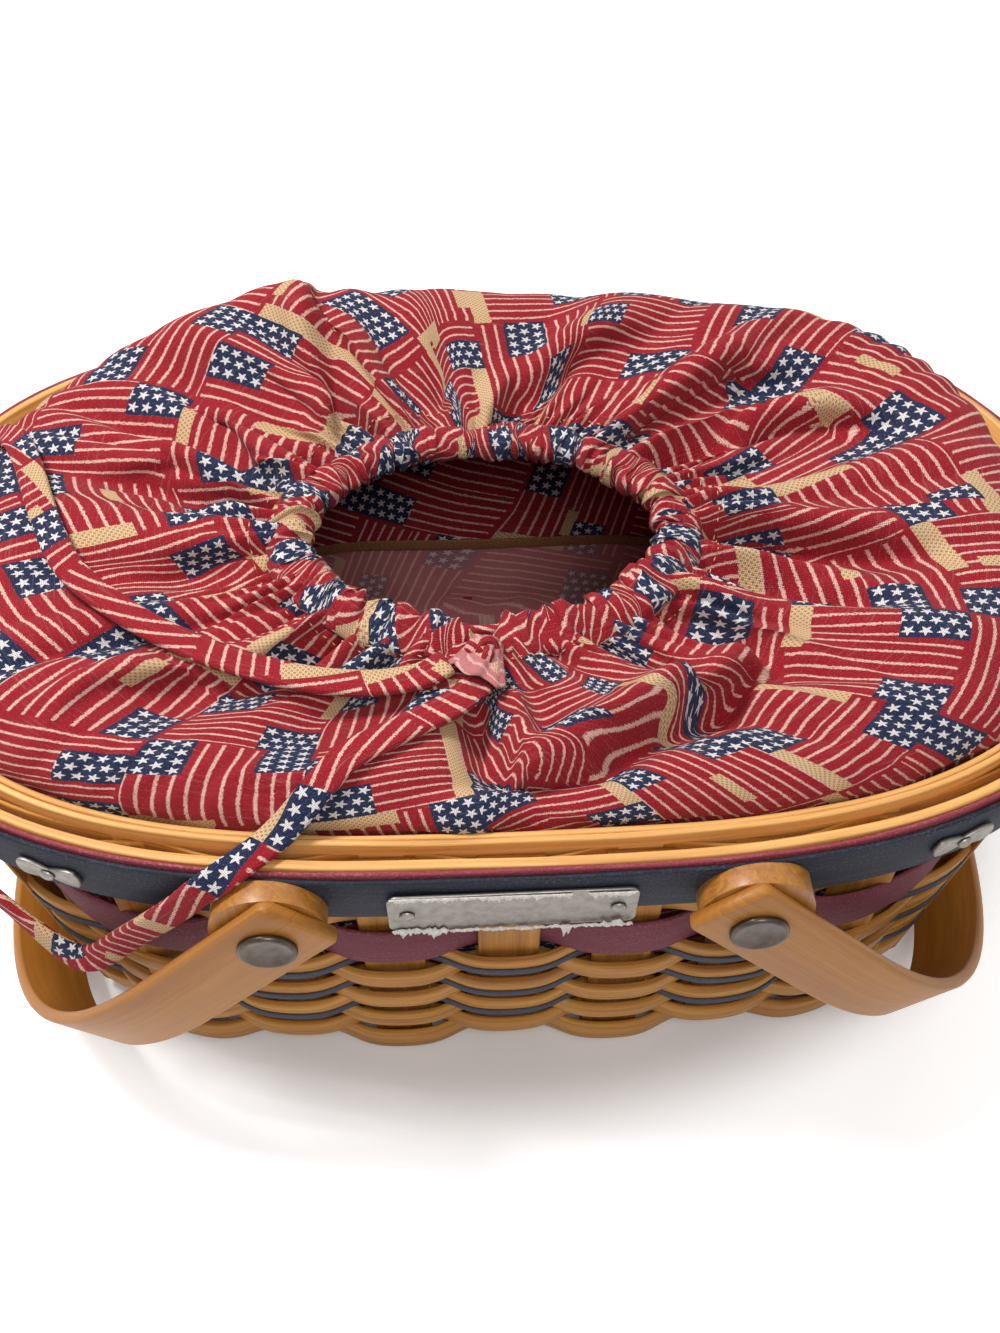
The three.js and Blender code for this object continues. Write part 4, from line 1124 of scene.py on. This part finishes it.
# Ties. Rows (mm): the middle of a tie, then the direction its flat face looks in
LEFT_TIE = (
    (-13.4, -52.4, 130.8, 0, 0, 1), (-20, -55.6, 129.9, 0, 0, 1), (-29.3, -57.2, 129.8, 0, 0, 1),
    (-39, -56.8, 129.9, 0, 0, 1), (-48.6, -55.2, 130.2, 0, 0, 1), (-59.6, -51.8, 130.7, 0.05, 0, 1),
    (-68, -48.6, 131.2, 0.05, 0, 1), (-76.3, -44.6, 131.7, 0.05, 0, 1), (-86.5, -38.8, 132.5, 0.06, 0, 1),
    (-95.3, -32.2, 133.1, 0.05, 0, 1), (-103.5, -25, 133.8, 0, 0, 1), (-110, -16.5, 134.1, 0, 0, 1),
    (-115.4, -5.1, 134.2, 0, 0, 1), (-119.6, 5, 134.1, -0.05, 0, 1), (-123.2, 14.9, 133.8, -0.11, 0, 0.99),
    (-127, 24, 133.3, -0.2, 0.03, 0.98), (-131.5, 32.5, 131.9, -0.33, 0.06, 0.94),
    (-137, 38.5, 128.3, -0.6, 0.15, 0.8), (-141.8, 42.5, 123.6, -0.7, 0.2, 0.68),
    (-146.5, 45.6, 120, -0.35, 0.1, 0.93), (-150.6, 48.4, 118.9, -0.1, 0, 1),
    (-154.6, 51.2, 118.2, -0.6, 0.25, 0.75), (-156.9, 53, 114.2, -0.92, 0.36, 0.15),
    (-156.9, 53.9, 108, -0.92, 0.38, 0), (-156.5, 54.1, 100, -0.92, 0.38, 0),
    (-156.3, 54.1, 92, -0.92, 0.38, 0), (-156.2, 54.1, 84, -0.92, 0.38, 0),
    (-156.1, 54.1, 76, -0.92, 0.38, 0), (-156.1, 54.1, 68, -0.92, 0.38, 0),
)
FRONT_TIE = (
    (-5.6, -57.8, 130, 0, -0.2, 1), (-12, -64.2, 129.9, 0, 0, 1), (-23.5, -71, 130.1, 0, 0.05, 1),
    (-35.6, -77.8, 129.9, 0, -0.15, 1), (-40.8, -82.6, 128.6, 0, -0.35, 0.92),
    (-45.8, -87.2, 125.4, -0.05, -0.65, 0.76), (-50.8, -91.2, 121.5, -0.05, -0.6, 0.8),
    (-56.2, -95.3, 119.3, 0, -0.2, 1), (-61.6, -99.6, 118.8, 0, -0.25, 1),
    (-66.4, -102.5, 117.2, -0.1, -0.8, 0.6), (-70.8, -103.5, 114.2, -0.1, -1, 0.15),
    (-75.2, -103.3, 108.8, -0.15, -1, 0), (-80.4, -102.4, 102.4, -0.2, -1, 0),
    (-86.2, -101.1, 95.4, -0.2, -1, 0), (-92, -99.8, 88.4, -0.2, -1, 0), (-97.3, -98.8, 81.9, -0.25, -1, 0.1),
    (-101.8, -98, 76.8, -0.3, -1, 0.3), (-106.2, -96.9, 74.4, -0.3, -0.9, 0.45),
    (-110.8, -95, 75.4, -0.4, -0.9, 0.3), (-115.8, -92.2, 78.8, -0.5, -0.9, 0.15),
    (-121.5, -88.6, 82.9, -0.6, -0.85, 0), (-127.3, -84.7, 86.8, -0.65, -0.8, 0),
)
NECK_KNOT = (-5, -50.6, 132.1)
LEFT_KNOT = (-156.1, 54.1, 63.6)
FRONT_KNOT = (-130.5, -82.3, 89.1)


def spline(rows, step=0.0015):
    """A smooth curve through rows of numbers, sampled evenly along its first three; and its length."""
    rows = np.asarray(rows, float)
    rows[:, :3] /= 1000
    ghost = np.vstack([2 * rows[0] - rows[1], rows, 2 * rows[-1] - rows[-2]])
    out = []
    for i in range(1, len(ghost) - 2):
        p0, p1, p2, p3 = ghost[i - 1:i + 3]
        for t in np.linspace(0, 1, 12, endpoint=False):
            out.append(0.5 * ((2 * p1) + (p2 - p0) * t + (2 * p0 - 5 * p1 + 4 * p2 - p3) * t ** 2
                              + (3 * p1 - p0 - 3 * p2 + p3) * t ** 3))
    out.append(ghost[-2])
    out = np.array(out)
    at = run_length(out[:, :3])
    return read_off(np.linspace(0, at[-1], int(at[-1] / step) + 1), at, out), at[-1]


def press(points):
    """Pushes the cloth down where a tie lies on it."""
    batch = 8000
    flat = points.reshape(-1, 3)
    for route in (LEFT_TIE, FRONT_TIE):
        line, _ = spline(route, 0.003)
        line = line[line[:, 2] > HEIGHT + 0.002]
        for start in range(0, len(flat), batch):
            part = flat[start:start + batch]
            away = np.linalg.norm(part[:, None, :2] - line[None, :, :2], axis=2)
            nearest = away.argmin(1)
            distance = away[np.arange(len(part)), nearest]
            limit = line[nearest, 2] - 0.0021 + np.maximum(0, distance - 0.0046) * 0.7
            part[:, 2] = np.minimum(part[:, 2], limit)


def add_knot(node, place, size, seed):
    """An overhand knot in a soft tie."""
    turn = circle(120)
    centre = np.array(place) / 1000
    x = np.sin(turn) + 2 * np.sin(2 * turn)
    y = np.cos(turn) - 2 * np.cos(2 * turn)
    z = -np.sin(3 * turn)
    points = np.column_stack([x / 3, y / 3, z * 0.55]) * size + centre
    tangents = unit(np.roll(points, -1, 0) - np.roll(points, 1, 0))
    face = square_to(unit(points - centre), tangents)
    piece = strip(f"{node}_look", points, np.cross(tangents, face), face,
                  section(size * 0.42, size * 0.3, size * 0.2), print_cloth, closed=True, seed=seed)
    return stands_for(piece, "tie_cloth", node)


def add_tie(name, route, knot_place, seed):
    line, length = spline(route)
    points = line[:, :3]
    tangents = unit(np.gradient(points, axis=0))
    face = square_to(line[:, 3:], tangents)
    piece = strip(f"{name}_look", points, np.cross(tangents, face), face,
                  section(TIE_WIDTH / 2, TIE_THICKNESS / 2, 0.0009), print_cloth, seed=seed)
    stands_for(piece, "tie_cloth", name)
    knot = add_knot(f"{name}_knot", knot_place, 0.0033, seed + 0.3)


def add_mouth():
    """The open end of the casing: a crumpled, faded funnel from which the ties come."""
    columns, steps = 72, 14
    start = np.array((-0.0035, -0.0465, 0.1318))
    way = unit(np.array((-0.35, -1.0, -0.12)))
    aside = unit(np.cross(way, (0, 0, 1.0)))
    up = np.cross(aside, way)
    around = circle(columns)
    lip = 0.0105 + 0.0030 * np.sin(around - 0.6) + 0.0008 * np.sin(5 * around + 1)
    rows = []
    for wall in (0.0, 0.0007):
        layer = []
        for t in np.linspace(0, 1, steps):
            crumple = 1 + 0.10 * np.sin(4 * around + 3 * t) + 0.06 * np.sin(9 * around + 1 + 4 * t)
            radius = (0.0030 + 0.0030 * t ** 1.6 - wall) * crumple
            layer.append(start + way * (lip * t)[:, None] + aside * (radius * np.cos(around) * 1.25)[:, None]
                         + up * (radius * np.sin(around) * 0.72)[:, None])
        rows += layer[::-1] if wall else layer
    girth = np.linspace(0, 0.034, columns + 1)
    length = np.linspace(0.4, 0.424, len(rows) + 1)
    uv = np.stack(np.meshgrid(girth, length), -1)
    stands_for(lattice("casing_mouth", np.array(rows), uv, reverse_cloth, wrap_rows=True), "liner_cloth")


def add_drawstring():
    angle = circle(300)
    none = np.zeros(len(angle))
    line = np.column_stack([neck_oval(angle, -0.0006), none + NECK_HEIGHT])
    outward = unit(np.column_stack([np.cos(angle) / NECK[0], np.sin(angle) / NECK[1], none]))
    piece = strip("drawstring_loop_look", line, np.tile((0, 0, 1.0), (len(angle), 1)), outward,
                  section(0.0018, 0.0011, 0.0008), print_cloth, closed=True, seed=0.2)
    stands_for(piece, "tie_cloth", "drawstring_loop")


liner = add_liner()
casing = add_casing()
stitches = add_stitches(liner)
add_inner_seam()
add_tie("tie_left", LEFT_TIE, LEFT_KNOT, 0.05)
add_tie("tie_front", FRONT_TIE, FRONT_KNOT, 0.65)
add_knot("drawstring_knot", NECK_KNOT, 0.0034, 0.9)
add_mouth()
add_drawstring()


# Studio. Lamps: name, place, size, power
LAMPS = (
    ("key", (-0.45, 0.12, 1.05), 0.24, 10.0), ("fill", (0.06, -0.60, 0.92), 0.35, 3.6),
    ("back", (0.4, 0.8, 0.9), 0.8, 2.0),
)


def add_studio():
    s = Shader("floor_paper")
    x, y, _ = s.split(s.coordinates("Object"))
    # the paper glows a little for the camera, and more far away; the glow is left out under the basket and
    # fades in round its foot, which paints a shadow there
    foot_x, foot_y = x / 0.140, y / 0.098
    outside_painted_shadow = (foot_x * foot_x + foot_y * foot_y).sqrt().step(1.0, 1.3)
    far = (x * x + y * y).sqrt().step(0.5, 1.8) * 0.5 + 0.5
    glow = s.mix(s.seen() * outside_painted_shadow * far, (0, 0, 0), (1, 1, 1))
    s.finish(Base_Color=(0.9, 0.9, 0.9), Roughness=0.9, Emission_Color=glow, Emission_Strength=1.0)
    bpy.ops.mesh.primitive_plane_add(size=8)
    floor = bpy.context.object
    floor.name = "floor"
    floor.data.materials.append(s.owner)
    world = Shader("studio", world=True)
    strength = world.node("ShaderNodeMix", None, {0: world.seen(), 2: 0.24, 3: 1.0})
    bpy.context.scene.world = world.finish(Color=(1, 1, 1), Strength=strength)
    for name, place, size, power in LAMPS:
        data = bpy.data.lights.new(name, "AREA")
        data.size = size
        data.energy = power
        lamp = bpy.data.objects.new(name, data)
        lamp.location = place
        lamp.rotation_euler = (Vector((0, 0, 0.06)) - Vector(place)).to_track_quat("-Z", "Y").to_euler()
        bpy.context.collection.objects.link(lamp)
    bpy.context.scene.view_settings.view_transform = "Standard"


add_studio()
